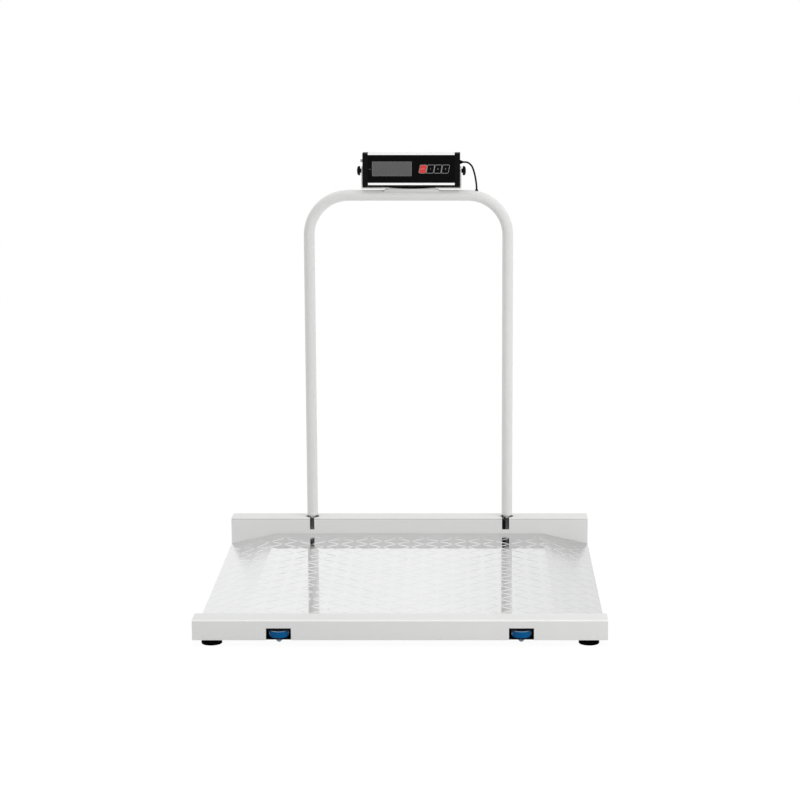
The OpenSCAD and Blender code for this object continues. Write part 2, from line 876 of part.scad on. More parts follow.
module indicator_bracket() {
    x0 = indicator_x - bracket_in - bracket_t;
    x1 = indicator_x + bracket_in + bracket_t;
    color(white)
        difference() {
            union() {
                translate([x0, rail_y - bracket_d / 2, plate_z])
                    cube([x1 - x0, bracket_d, bracket_t]);
                for (x = [x0, x1 - bracket_t]) {
                    translate([x, rail_y - bracket_d / 2, plate_z])
                        cube([bracket_t, bracket_d, tilt_z - plate_z]);
                    translate([0, rail_y, tilt_z]) rod_x(bracket_d / 2, x, x + bracket_t);
                }
            }
            translate([0, rail_y, tilt_z])
                rod_x(knob_stud_d / 2 + 2 * play, x0 - eps, x1 + eps);
            for (x = [-1, 1])
                translate([indicator_x + x * bracket_screw_x, rail_y, plate_z])
                    bracket_screw(play);
        }
}

// Countersunk screw with its head's top level with the bracket's base
module bracket_screw(grow) {
    head = bracket_t - 0.4;
    translate([0, 0, -saddle_t + 0.2])
        cylinder(r = bracket_screw_d / 2 + grow, h = saddle_t + bracket_t);
    translate([0, 0, bracket_t - head])
        cylinder(r1 = bracket_screw_d / 2 + grow, r2 = bracket_screw_d / 2 + head + grow,
            h = head + (grow > 0 ? 0.01 : 0));
}

module bracket_screws() {
    color(bare_steel)
        for (x = [-1, 1])
            translate([indicator_x + x * bracket_screw_x, rail_y, plate_z])
                intersection() {
                    bracket_screw(0);
                    translate([-10, -10, -10]) cube([20, 20, 10 + bracket_t]);
                }
}

module cable_boot() {
    color(black)
        translate([boot_x, rail_y, 0]) {
            translate([0, 0, boot_seat]) cylinder(r = boot_flange_r, h = boot_flange_h);
            translate([0, 0, boot_low]) cylinder(r = boot_stem_r, h = boot_seat + eps - boot_low);
        }
}

// The cable's hidden run, inside the right bend and leg of the rail
module inner_cable() {
    start = acos(boot_off / tube_bend);
    color(black) {
        translate([bend_x, rail_y, bend_z]) rotate([90, 0, 0])
            rotate_extrude(angle = start) translate([tube_bend, 0]) circle(d = cable_d);
        translate([leg_x, rail_y, tube_low]) cylinder(d = cable_d, h = bend_z - tube_low);
    }
}

// Outline of the case in Y and Z, with the bevel along its lower front edge
module case_outline(inset) {
    b = case_bevel + inset * 0.6;
    y0 = case_y0 + inset;
    y1 = case_y1 - inset;
    z0 = case_z0 + inset;
    z1 = case_z1 - inset;
    polygon([[y0, case_z0 + b], [case_y0 + b, z0], [y1, z0], [y1, z1], [y0, z1]]);
}

// Places of the four screws in each end of the case
module case_corners(x) {
    for (y = [-1, 1], z = [-1, 1])
        translate([x, rail_y + y * cap_screw_y + (y < 0 ? cap_screw_front : 0),
            (case_z0 + case_z1) / 2 + z * cap_screw_z]) children();
}

module indicator_case() {
    x0 = indicator_x - body_l / 2;
    mid_z = (case_z0 + case_z1) / 2;
    web_h = case_h / 2 - cap_screw_z - case_t + eps;
    color([0.85, 0.86, 0.86])
        difference() {
            union() {
                along_x(x0, x0 + body_l)
                    difference() {
                        case_outline(0);
                        difference() {
                            case_outline(case_t);
                            translate([case_y0, case_z0]) square([lip_t + 0.01, case_h]);
                        }
                        translate([case_y0 - eps, face_low])
                            square([case_t + eps + 1, face_top - face_low]);
                        translate([panel_y, panel_low]) square([panel_t, panel_high - panel_low]);
                    }
                case_corners(x0)
                    rotate([0, 90, 0]) cylinder(r = port_r, h = body_l);
                for (z = [-1, 1])
                    translate([x0, rail_y + cap_screw_y, mid_z + z * cap_screw_z - port_r])
                        cube([body_l, case_y1 - case_t - rail_y - cap_screw_y + eps, 2 * port_r]);
                for (z = [case_z0 + case_t - eps, mid_z + cap_screw_z])
                    translate([x0, rail_y - cap_screw_y + cap_screw_front - port_web / 2, z])
                        cube([body_l, port_web, web_h]);
            }
            case_corners(x0 - eps)
                rotate([0, 90, 0]) cylinder(d = cap_screw_d + 2 * play, h = body_l + 2 * eps);
        }
}

// Right end cap at the origin of X, its outer face at x = cap_w
module case_cap() {
    difference() {
        along_x(0, cap_w) case_outline(0);
        difference() {
            along_x(-eps, cap_w - cap_wall) case_outline(case_t + 1);
            translate([0, rail_y, tilt_z]) rod_x(boss_r, -2 * eps, cap_w);
            case_corners(0)
                rotate([0, 90, 0]) cylinder(r = port_r, h = cap_w);
        }
        translate([0, rail_y, tilt_z]) rod_x(knob_stud_d / 2 + play, cap_w - insert_l, cap_w + eps);
        case_corners(-eps)
            rotate([0, 90, 0]) cylinder(d = cap_screw_d + 2 * play, h = cap_w + 2 * eps);
        case_corners(cap_w - port_sunk)
            rotate([0, 90, 0]) cylinder(r = port_r, h = port_sunk + eps);
    }
}

module case_cap_right() {
    color(black) translate([indicator_x + body_l / 2, 0, 0]) case_cap();
}

module case_cap_left() {
    color(black) translate([indicator_x - body_l / 2, 0, 0]) mirror([1, 0, 0]) case_cap();
}

module cap_screws() {
    grip = 8;
    shank = cap_w + grip - port_sunk;
    color(bare_steel)
        translate([indicator_x, 0, 0])
            both_ends()
                case_corners(body_l / 2 - grip)
                    rotate([0, 90, 0]) {
                        cylinder(d = cap_screw_d, h = shank);
                        translate([0, 0, shank]) cylinder(r = port_r - 0.2, h = port_sunk - fit_gap);
                    }
}

// One key's outline in X and Z, its sides leaning
module key_outline(grow) {
    w = key_w / 2 + grow;
    h = key_h / 2 + grow;
    lean = key_lean / 2 * h / (key_h / 2);
    polygon([[-w - lean, -h], [w - lean, -h], [w + lean, h], [-w + lean, h]]);
}

module key_place(i) {
    translate([key_x - (key_count - i) * key_pitch, 0, key_z]) children();
}

module face_panel() {
    x0 = indicator_x - body_l / 2;
    color(black)
        difference() {
            along_y(panel_y, panel_y1)
                translate([x0, panel_low]) square([body_l, panel_high - panel_low]);
            along_y(panel_y - eps, panel_y1 + eps)
                translate([window_x0, window_z1 - window_h]) square([window_w, window_h]);
            for (i = [1 : key_count])
                key_place(i) along_y(panel_y - eps, panel_y1 + eps) key_outline(gap);
        }
}

module display_window() {
    color([0.35, 0.36, 0.36])
        along_y(panel_y + window_back, panel_y1)
            translate([window_x0 + play, window_z1 - window_h + play])
                square([window_w - 2 * play, window_h - 2 * play]);
}

module lcd_module() {
    color("darkgreen")
        along_y(panel_y1, panel_y1 + lcd_t)
            translate([window_x0 - window_frame, window_z1 - window_h - window_frame - 1])
                square([window_w + 2 * window_frame, window_h + 2 * window_frame + 1]);
}

module main_board() {
    z0 = case_z0 + case_t + fit_gap;
    color("darkgreen")
        along_y(board_y, board_y + board_t)
            translate([indicator_x - body_l / 2 + board_in, z0])
                square([body_l - 2 * board_in, case_z1 - case_t - fit_gap - z0]);
}

module battery_pack() {
    y0 = board_y + board_t;
    depth = case_y1 - case_t - y0 - 0.5;
    color("steelblue")
        translate([indicator_x - battery_left, y0, case_z0 + case_t + battery_rise])
            cube([battery_w, depth, battery_h]);
}

module cable_gland() {
    collar_r = cable_d / 2 + 3;
    collar_t = 2;
    tip_r = cable_d / 2 + 0.8;
    color(black)
        translate([indicator_x + cap_face, rail_y, tilt_z + gland_up])
            rotate([0, 90, 0])
                rotate_extrude()
                    polygon([[0, 0], [collar_r, 0], [collar_r, collar_t], [tip_r, gland_l],
                        [0, gland_l]]);
}

module power_socket() {
    color([0.5, 0.5, 0.52])
        translate([indicator_x - cap_face, rail_y, tilt_z + gland_up + socket_up])
            rotate([0, -90, 0])
                difference() {
                    cylinder(r = socket_r, h = socket_l);
                    translate([0, 0, socket_floor]) cylinder(r = socket_bore_r, h = socket_l);
                }
}

module indicator_cable() {
    color(black)
        swept_tube([for (q = cable_route) [q[0], rail_y, q[1]]], cable_d, 12);
}

// A key stands out of the face by half its travel, so pressed home it lies as deep below it
module key(i) {
    color(i == 1 ? "crimson" : [0.12, 0.12, 0.12])
        key_place(i) along_y(key_y, key_y + key_t) key_outline(0);
}

// Right clamp knob: a star head with six hollows and a neck
module clamp_knob() {
    hollow_r = 4.5;
    hollow_out = 2.5;
    hollows = 6;
    neck_r = knob_stud_d / 2 + 3;
    edge_low = 2.5;
    crown = 3;
    translate([indicator_x + knob_face, rail_y, tilt_z])
        rotate([0, 90, 0])
            difference() {
                union() {
                    cylinder(r = neck_r, h = knob_neck);
                    translate([0, 0, knob_neck])
                        rotate_extrude()
                            polygon([[0, 0], [knob_d / 2 - crown, 0], [knob_d / 2, edge_low],
                                [knob_d / 2, knob_t - crown - 1],
                                [knob_d / 2 - crown - 1, knob_t - 1],
                                [knob_d / 2 - 2 * crown - 1, knob_t], [0, knob_t]]);
                }
                for (k = [0 : hollows - 1])
                    rotate([0, 0, 360 * k / hollows])
                        translate([knob_d / 2 + hollow_out, 0, knob_neck - eps])
                            cylinder(r = hollow_r, h = knob_t + 2 * eps);
                translate([0, 0, -eps])
                    cylinder(d = knob_stud_d, h = knob_neck + knob_t - knob_wall + eps);
            }
}

module clamp_stud() {
    translate([0, rail_y, tilt_z])
        rod_x(knob_stud_d / 2, indicator_x + cap_face - insert_l + 1,
            indicator_x + knob_face + knob_neck + knob_t - knob_wall);
}

module mirror_about_case() {
    translate([2 * indicator_x, 0, 0]) mirror([1, 0, 0]) children();
}

deck_plate();
front_guard();
rear_guard();
guard_end_plates();
deck_beams();
mirror([1, 0, 0]) load_cell(front_mid_y);  // load_cell_front_left
load_cell(front_mid_y);  // load_cell_front_right
mirror([1, 0, 0]) load_cell(rear_mid_y);  // load_cell_rear_left
load_cell(rear_mid_y);  // load_cell_rear_right
load_cell_blocks();
load_cell_screws();
foot_lock_nuts();
load_cell_cables();
junction_box();
junction_lid();
junction_board();
junction_screws();
wheel_brackets();
wheel_axles();
axle_nuts();
pivot_brackets();
foot_pad(-foot_x, front_mid_y);  // foot_pad_front_left
foot_pad(foot_x, front_mid_y);  // foot_pad_front_right
foot_pad(-foot_x, rear_mid_y);  // foot_pad_rear_left
foot_pad(foot_x, rear_mid_y);  // foot_pad_rear_right
foot_stud(-foot_x, front_mid_y);  // foot_stud_front_left
foot_stud(foot_x, front_mid_y);  // foot_stud_front_right
foot_stud(-foot_x, rear_mid_y);  // foot_stud_rear_left
foot_stud(foot_x, rear_mid_y);  // foot_stud_rear_right
wheel(-wheel_x);  // wheel_left
wheel(wheel_x);  // wheel_right
rail_pivot_pins();
handrail_tube();
rail_swages();
rail_tongues();
saddle_plate();
indicator_bracket();
bracket_screws();
cable_boot();
inner_cable();
indicator_case();
case_cap_left();
case_cap_right();
cap_screws();
face_panel();
display_window();
lcd_module();
main_board();
battery_pack();
cable_gland();
power_socket();
indicator_cable();
key(1);  // key_1
key(2);  // key_2
key(3);  // key_3
key(4);  // key_4
color(black) mirror_about_case() clamp_knob();  // clamp_knob_left
color(black) clamp_knob();  // clamp_knob_right
color(bare_steel) mirror_about_case() clamp_stud();  // clamp_stud_left
color(bare_steel) clamp_stud();  // clamp_stud_right
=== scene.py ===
"""Low platform scale for weighing a person in a wheelchair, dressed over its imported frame.

Metres, Z up, +X to the right and the viewer on the -Y side, as in the frame.
"""

import math
import bmesh
import bpy
import numpy as np
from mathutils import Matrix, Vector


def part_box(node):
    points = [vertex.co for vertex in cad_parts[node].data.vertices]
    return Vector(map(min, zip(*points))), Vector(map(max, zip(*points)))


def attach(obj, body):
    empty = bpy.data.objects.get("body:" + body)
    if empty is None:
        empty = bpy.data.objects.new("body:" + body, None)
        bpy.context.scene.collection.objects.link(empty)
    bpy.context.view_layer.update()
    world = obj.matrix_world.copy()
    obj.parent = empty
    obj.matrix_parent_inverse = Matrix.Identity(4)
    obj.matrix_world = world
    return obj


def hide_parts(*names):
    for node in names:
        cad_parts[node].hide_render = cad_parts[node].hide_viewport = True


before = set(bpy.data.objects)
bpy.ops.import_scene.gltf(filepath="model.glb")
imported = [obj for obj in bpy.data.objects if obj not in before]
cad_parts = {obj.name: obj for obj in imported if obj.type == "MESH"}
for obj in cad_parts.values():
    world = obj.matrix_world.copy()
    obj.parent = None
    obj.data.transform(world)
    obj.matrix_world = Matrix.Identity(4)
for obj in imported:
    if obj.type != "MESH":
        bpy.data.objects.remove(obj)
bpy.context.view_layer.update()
MM = 0.001

# Camera: a long lens at head height, a little to the right of the scale and square to its front.
# Its frame is shifted sideways, as in a picture that was cropped after it was taken.
camera_place = (0.1598, -5.7116, 1.5639)
camera_down = math.radians(10.44)
focal_mm = 101.26
sideways_shift = -0.0831
camera = bpy.data.objects.new("camera", bpy.data.cameras.new("camera"))
camera.location = camera_place
camera.rotation_euler = (math.pi / 2 - camera_down, 0, 0)
camera.data.lens = focal_mm
camera.data.sensor_width = 36
camera.data.shift_x = sideways_shift
camera.data.clip_end = 100
bpy.context.scene.collection.objects.link(camera)
bpy.context.scene.camera = camera

# Indicator cable: a round lead in black PVC. It leaves the gland on the indicator's right end,
# bows out under its own weight and goes down through the boot into the handrail. Its route is
# given in X and Z, in millimetres, in the plane of the rail.
cable_route = [[149.5, 1088], [155, 1088], [160, 1087.6], [164.8, 1086], [169, 1083],
    [172.8, 1079], [176, 1074], [178.4, 1068], [180.4, 1061.5], [182.2, 1055],
    [183.7, 1048], [185, 1041], [186.1, 1034], [186.9, 1027], [187.5, 1020], [187.5, 1013.8]]
cable_d = 5 * MM
rail_low, rail_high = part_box("handrail_tube")
rail_y = (rail_low.y + rail_high.y) / 2


def unit(vectors):
    """Each vector divided by its length."""
    return vectors / np.linalg.norm(vectors, axis=-1, keepdims=True)


def smooth_path(points, per_span=6):
    """Catmull-Rom curve: between each pair of points a cubic whose slope at a point is half
    the step from the point before it to the point after it."""
    p = np.asarray(points, float)
    p = np.vstack([2 * p[0] - p[1], p, 2 * p[-1] - p[-2]])
    t = np.arange(per_span)[:, None, None] / per_span
    a, b, c, d = p[:-3], p[1:-2], p[2:-1], p[3:]
    curve = 0.5 * (2 * b + (c - a) * t + (2 * a - 5 * b + 4 * c - d) * t**2
        + (3 * b - a - 3 * c + d) * t**3)
    return np.vstack([curve.transpose(1, 0, 2).reshape(-1, p.shape[1]), p[-2]])


def circle(radius, sides):
    """Points around a circle: radius times the cosine and sine of each angle."""
    angle = np.arange(sides) * 2 * math.pi / sides
    return np.stack([radius * np.cos(angle), radius * np.sin(angle)], -1)


def swept(path, profile, up):
    """A closed profile carried along a path: each path point plus the profile's two numbers
    times the sideways and upward directions that stand square to the path there.
    A ring of no size closes each end."""
    path = np.asarray(path, float)
    ahead = unit(np.gradient(path, axis=0))
    side = unit(np.cross(ahead, up))
    over = np.cross(side, ahead)
    profile = np.broadcast_to(profile, (len(path),) + np.shape(profile)[-2:])
    rings = (path[:, None] + profile[..., :1] * side[:, None] + profile[..., 1:] * over[:, None])
    ends = [np.broadcast_to(path[i], rings[i].shape)[None] for i in (0, -1)]
    return np.concatenate([ends[0], rings, ends[1]])


def surface(name, grids, around=True, closed=False, sharp=35):
    """Mesh over one or more grids of points, shaped (..., rows, columns, 3): every cell of four
    neighbours is a face. Columns join up all the way around, and rows too where it is closed.
    Doubles are merged, all faces are turned over if the volume inside them comes out negative,
    and edges over the sharp angle stay sharp."""
    grids = np.asarray(grids, float)
    rows, columns = grids.shape[-3:-1]
    index = np.arange(grids.size // 3).reshape(-1, rows, columns)
    below = np.roll(index, -1, 1)
    faces = np.stack([index, np.roll(index, -1, 2), np.roll(below, -1, 2), below], -1)
    faces = faces[:, : rows if closed else rows - 1, : columns if around else columns - 1]
    mesh = bpy.data.meshes.new(name)
    mesh.from_pydata(grids.reshape(-1, 3), [], faces.reshape(-1, 4))
    work = bmesh.new()
    work.from_mesh(mesh)
    bmesh.ops.remove_doubles(work, verts=work.verts, dist=1e-6)
    bmesh.ops.dissolve_degenerate(work, edges=work.edges, dist=1e-6)
    if work.calc_volume(signed=True) < 0 or not around:
        bmesh.ops.reverse_faces(work, faces=work.faces)
    work.to_mesh(mesh)
    work.free()
    mesh.shade_smooth()
    mesh.set_sharp_from_angle(angle=math.radians(sharp))
    piece = bpy.data.objects.new(name, mesh)
    bpy.context.scene.collection.objects.link(piece)
    return piece


def linear(code):
    """An sRGB hex colour as linear red, green, blue and 1, by the standard's own curve."""
    parts = [int(code[i:i + 2], 16) / 255 for i in (1, 3, 5)]
    return [c / 12.92 if c <= 0.04045 else ((c + 0.055) / 1.055) ** 2.4 for c in parts] + [1.0]


def add(tree, kind, sockets, **settings):
    """Adds one node. Settings are its properties, and sockets gives each input, by name or
    number, a value or the output that feeds it. Returns the node."""
    made = tree.nodes.new("ShaderNode" + kind)
    for name, value in settings.items():
        setattr(made, name, value)
    for socket, value in sockets.items():
        if isinstance(value, bpy.types.NodeSocket):
            tree.links.new(value, made.inputs[socket])
        else:
            made.inputs[socket].default_value = value
    return made


def finish(name, sockets):
    """A new material named for its real finish, with its shader's sockets set. Returns the
    material, its node tree, the shader and the Object coordinates."""
    made = bpy.data.materials.new(name)
    made.use_nodes = True
    tree = made.node_tree
    shader = tree.nodes["Principled BSDF"]
    for socket, value in sockets.items():
        shader.inputs[socket].default_value = value
    place = add(tree, "TexCoord", {}).outputs["Object"]
    return made, tree, shader, place


def join(tree, output, shader, socket):
    """Feeds one of the shader's sockets."""
    tree.links.new(output, shader.inputs[socket])


def noise(tree, place, size, detail=2.0):
    """Noise whose coarsest grain has this size."""
    return add(tree, "TexNoise", {"Vector": place, "Scale": 1 / size, "Detail": detail})


def tinted(tree, shader, grain, dark, light):
    """Lets the base colour wander between two shades as the grain goes from 0 to 1."""
    tint = add(tree, "MixRGB", {"Fac": grain.outputs["Fac"], "Color1": linear(dark),
        "Color2": linear(light)})
    join(tree, tint.outputs[0], shader, "Base Color")
    return tint


def glossed(tree, shader, grain, smooth, rough):
    """Lets the roughness wander between two values as the grain goes from 0 to 1."""
    gloss = add(tree, "MapRange", {"Value": grain.outputs["Fac"], "To Min": smooth,
        "To Max": rough})
    join(tree, gloss.outputs[0], shader, "Roughness")


def bumped(tree, shader, grain, strength, depth):
    """Tilts the surface as if the grain stood up from it by this depth."""
    bump = add(tree, "Bump", {"Strength": strength, "Distance": depth,
        "Height": grain.outputs["Fac"]})
    join(tree, bump.outputs[0], shader, "Normal")


def fit_out(piece, material, body, slot, *nodes):
    """Gives a piece its material, the body it rides on and the CAD nodes it stands for. The slot
    is not used."""
    piece.data.materials.append(material)
    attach(piece, body)
    if nodes:
        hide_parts(*nodes)


# Extruded soft PVC, smooth with a faint matt grain: near black, with a soft broad shine.
sheath, tree, shader, place = finish("extruded_pvc_sheath",
    {"Roughness": 0.42, "Specular IOR Level": 0.15})
sheath_grain = noise(tree, place, 0.8 * MM)
tinted(tree, shader, sheath_grain, "#070708", "#0F0F10")
bumped(tree, shader, sheath_grain, 0.25, 0.05 * MM)

route = smooth_path([[x * MM, rail_y, z * MM] for x, z in cable_route])
cable = surface("indicator_lead", swept(route, circle(cable_d / 2, 24), (0, 1, 0)))
fit_out(cable, sheath, "indicator", "cable_sheath", "indicator_cable")


def dress(material, *names):
    """Gives CAD nodes this material in place of their flat colour."""
    for name in names:
        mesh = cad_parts[name].data
        mesh.materials.clear()
        mesh.materials.append(material)


# The hidden cables inside the rail and under the deck have the same sheath.
dress(sheath, "load_cell_cables", "inner_cable")

# Deck: rolled aluminium tread plate, mill bright and close to a mirror, its ends bent down as
# ramps. The raised lugs lie in rows, each along a diagonal and crossing the way of its neighbours.
deck_low, deck_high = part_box("deck_plate")
ramp_length = 125 * MM
ramp_drop = 28.5 * MM
bare_edge = 12 * MM
lug_step_x = 39 * MM
lug_step_y = 33.2 * MM
lug_start_x = 6.5 * MM
lug_length = 49 * MM
lug_width = 9 * MM
lug_height = 0.9 * MM
lug_root = 0.3 * MM
scuff_edge = 4 * MM
right_shade_from = 0.08
right_shade_to = 0.46

# Bright rolled aluminium: a mirror that is a little soft, with fine streaks along the roll. On the
# ramps the wheels have scuffed it, so that what it mirrors there blurs and fades. Toward its right
# end its colour is painted darker, a painted shade for the dimmer light it mirrors there.
bright_plate, tree, shader, place = finish("bright_rolled_aluminium", {"Metallic": 1.0})
streak_place = add(tree, "Mapping", {"Vector": place,
    "Scale": (1 / (90 * MM), 1 / (1.2 * MM), 1)})
streaks = noise(tree, streak_place.outputs[0], 1.0, 3.0)
smears = noise(tree, place, 60 * MM, 4.0)
plate_tint = tinted(tree, shader, smears, "#E4E5E5", "#EEEEEE")
plate_gloss = add(tree, "MapRange", {"Value": smears.outputs["Fac"],
    "From Min": 0.3, "From Max": 0.7, "To Min": 0.03, "To Max": 0.08})
position = add(tree, "SeparateXYZ", {0: place})
outward = add(tree, "Math", {0: position.outputs["X"]}, operation="ABSOLUTE")
scuffed = add(tree, "MapRange", {"Value": outward.outputs[0],
    "From Min": deck_high.x - ramp_length - scuff_edge,
    "From Max": deck_high.x - ramp_length + scuff_edge, "To Min": 0.0, "To Max": 0.2})
plate_dull = add(tree, "Math", {0: plate_gloss.outputs[0], 1: scuffed.outputs[0]},
    operation="ADD")
join(tree, plate_dull.outputs[0], shader, "Roughness")
# Painted shade: the plate's colour is scaled down from 1 to 0.86 toward its right end.
right_shade = add(tree, "MapRange", {"Value": position.outputs["X"], "From Min": right_shade_from,
    "From Max": right_shade_to, "To Min": 1.0, "To Max": 0.86})
plate_tone = add(tree, "VectorMath", {0: plate_tint.outputs[0], "Scale": right_shade.outputs[0]},
    operation="SCALE")
join(tree, plate_tone.outputs[0], shader, "Base Color")
bumped(tree, shader, streaks, 0.08, 0.02 * MM)
dress(bright_plate, "deck_plate")


def deck_height(x):
    """Top of the deck: level in the middle, and falling in a straight line to each toe."""
    half = deck_high.x
    return deck_high.z - ramp_drop * np.clip((np.abs(x) - half + ramp_length) / ramp_length, 0, 1)


def lug_grid(along, across, lift):
    """One lug in its own directions: a lens, as wide as 1 - s^2 of its full width at the share
    s of its half length, and as high as (1 - t^2) sqrt(1 - s^2) at the share t of its width.
    A root, 1 - s^2 of its full depth, closes it below the plate's surface."""
    s = np.linspace(-1, 1, 9)[:, None]
    t = np.array([-1, -0.55, 0, 0.55, 1, 0])
    top = np.array([1, 1, 1, 1, 1, 0])
    x = s * along / 2 + 0 * t
    y = t * (1 - s**2) * across / 2
    z = lift * top * (1 - t**2) * np.sqrt(1 - s**2) - lug_root * (1 - top) * (1 - s**2)
    return np.stack([x, y, z], -1)


columns = int((deck_high.x - deck_low.x - 2 * bare_edge) / lug_step_x) + 1
rows = int((deck_high.y - deck_low.y - 2 * bare_edge) / lug_step_y)
column, row = np.meshgrid(np.arange(columns), np.arange(rows), indexing="ij")
lug_x = ((column - (columns - 1) / 2) * lug_step_x + lug_start_x).reshape(-1, 1, 1)
lug_y = ((row - (rows - 1) / 2) * lug_step_y + (deck_low.y + deck_high.y) / 2).reshape(-1, 1, 1)
turn = np.where((column + row) % 2, -1, 1).reshape(-1, 1, 1)
lug = lug_grid(lug_length, lug_width, lug_height)
diagonal = math.hypot(lug_step_x, lug_step_y)
lug_px = lug_x + (lug[..., 0] * lug_step_x - turn * lug[..., 1] * lug_step_y) / diagonal
lug_py = lug_y + (turn * lug[..., 0] * lug_step_y + lug[..., 1] * lug_step_x) / diagonal
lugs = np.stack([lug_px, lug_py, deck_height(lug_px) + lug[..., 2]], -1)
tread = surface("tread_lugs", lugs, sharp=50)
# The sheet is cut through its pattern: lugs that would pass the right toe end flat at its edge.
work = bmesh.new()
work.from_mesh(tread.data)
cut = bmesh.ops.bisect_plane(work, geom=work.verts[:] + work.edges[:] + work.faces[:],
    plane_co=(deck_high.x - lug_root, 0, 0), plane_no=(1, 0, 0), clear_outer=True)
cut_ends = bmesh.ops.edgeloop_fill(work, edges=[part for part in cut["geom_cut"]
    if isinstance(part, bmesh.types.BMEdge)])
for face in cut_ends["faces"]:
    face.normal_update()
    if face.normal.x < 0:
        face.normal_flip()
work.to_mesh(tread.data)
work.free()
fit_out(tread, bright_plate, "platform", "tread_plate")

# Guards and under-frame: folded sheet steel and square tube, welded, then powder coated white.
# White powder coat: a soft satin with the fine orange peel of baked powder. Along the front
# guard's upper fold a thin line of it is painted near white, a painted highlight.
painted_highlight_full = 2 * MM
painted_highlight_back = 9 * MM
painted_highlight_down = 2.8 * MM
white_coat, tree, shader, place = finish("white_powder_coat", {"Roughness": 0.38, "IOR": 1.5})
peel = noise(tree, place, 1.6 * MM, 1.0)
haze = noise(tree, place, 180 * MM)
coat_tint = tinted(tree, shader, haze, "#E6E6E5", "#EBEBEA")
fold_low, fold_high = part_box("front_guard")
coat_place = add(tree, "SeparateXYZ", {0: place})
# Painted highlight: the colour turns near white in a thin band along the front guard's upper fold.
near_face = add(tree, "MapRange", {"Value": coat_place.outputs["Y"],
    "From Min": fold_low.y + painted_highlight_full, "From Max": fold_low.y + painted_highlight_back,
    "To Min": 1.0, "To Max": 0.0})
near_top = add(tree, "MapRange", {"Value": coat_place.outputs["Z"],
    "From Min": fold_high.z - painted_highlight_down, "From Max": fold_high.z - painted_highlight_full})
painted_highlight = add(tree, "Math", {0: near_face.outputs[0], 1: near_top.outputs[0]},
    operation="MULTIPLY")
coat_tone = add(tree, "MixRGB", {"Fac": painted_highlight.outputs[0], "Color1": coat_tint.outputs[0],
    "Color2": linear("#FCFCFB")})
join(tree, coat_tone.outputs[0], shader, "Base Color")
bumped(tree, shader, peel, 0.18, 0.06 * MM)
dress(white_coat, "front_guard", "rear_guard", "guard_end_plates", "deck_beams")

# Screws, nuts and studs, and the barrel of the power socket: turned and rolled steel parts.
# Zinc plated steel: grey, bright and a little cloudy.
zinc, tree, shader, place = finish("zinc_plated_steel", {"Metallic": 1.0})
cloud = noise(tree, place, 4 * MM, 3.0)
tinted(tree, shader, cloud, "#9DA0A3", "#BFC1C2")
glossed(tree, shader, cloud, 0.26, 0.42)
dress(zinc, "load_cell_screws", "foot_lock_nuts", "power_socket",
    "foot_stud_front_left", "foot_stud_front_right", "foot_stud_rear_left",
    "foot_stud_rear_right", "clamp_stud_left", "clamp_stud_right")

# Load cells: bars of milled aluminium between the feet and the blocks that carry the guards.
# Milled aluminium: grey metal with the cutter's fine parallel lines.
milled, tree, shader, place = finish("milled_aluminium", {"Metallic": 1.0,
    "Base Color": linear("#BDBFC1")})
cutter = add(tree, "TexWave", {"Vector": place, "Scale": 1 / (1.2 * MM) / 6.28,
    "Distortion": 1.5}, wave_type="BANDS", bands_direction="X")
glossed(tree, shader, cutter, 0.28, 0.4)
dress(milled, "load_cell_front_left", "load_cell_front_right", "load_cell_rear_left",
    "load_cell_rear_right", "load_cell_blocks")

# Feet: moulded black rubber pads on threaded studs, rounded at the rim and ringed below.
# Moulded rubber: dull and near black, with a fine dusty grain.
rubber, tree, shader, place = finish("moulded_black_rubber",
    {"Roughness": 0.85, "Specular IOR Level": 0.03})
tinted(tree, shader, noise(tree, place, 0.7 * MM, 3.0), "#040404", "#080808")


def rounded(corners, radius, steps=5):
    """Closed outline through corners, each one cut off by a curve: at the share t its point is
    (1-t)^2 a + 2t(1-t) c + t^2 b, where a and b lie one radius before and after the corner c."""
    c = np.asarray(corners, float)
    radius = np.broadcast_to(radius, len(c))[:, None]
    a = c + unit(np.roll(c, 1, 0) - c) * radius
    b = c + unit(np.roll(c, -1, 0) - c) * radius
    t = np.linspace(0, 1, steps)[:, None, None]
    return ((1 - t)**2 * a + 2 * t * (1 - t) * c + t**2 * b).transpose(1, 0, 2).reshape(-1, 2)


def turned(profile, sides=64):
    """A profile of radius and height turned about the Z axis: each point becomes a ring."""
    ring = circle(1, sides)
    radius, height = profile[:, 0, None, None], profile[:, 1, None, None]
    return np.concatenate([radius * ring, np.broadcast_to(height, (len(profile), sides, 1))], -1)


foot_nodes = [f"foot_pad_{end}_{side}" for end in ("front", "rear") for side in ("left", "right")]
groove = 1.0 * MM
for node in foot_nodes:
    low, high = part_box(node)
    centre = (low + high) / 2
    foot_r = (high.x - low.x) / 2
    foot_h = high.z - low.z
    corners = [(0, 0.6 * MM), (foot_r - 9 * MM, 0.6 * MM), (foot_r - 8 * MM, 0),
        (foot_r - 5 * MM, 0), (foot_r - 4.5 * MM, groove), (foot_r - 3.5 * MM, groove),
        (foot_r - 3 * MM, 0), (foot_r, 0.2 * MM), (foot_r, foot_h - 3.4 * MM),
        (foot_r - 4 * MM, foot_h), (foot_r - 14 * MM, foot_h), (0, foot_h)]
    radii = np.array([0, 0.3, 0.3, 0.3, 0.3, 0.3, 0.3, 1.2, 1.6, 1.2, 0, 0]) * MM
    pad = surface(node.replace("foot_pad", "rubber_foot"),
        turned(rounded(corners, radii)) + np.array([centre.x, centre.y, 0]), closed=True)
    fit_out(pad, rubber, node.replace("foot_pad", "foot"), "black_rubber", node)
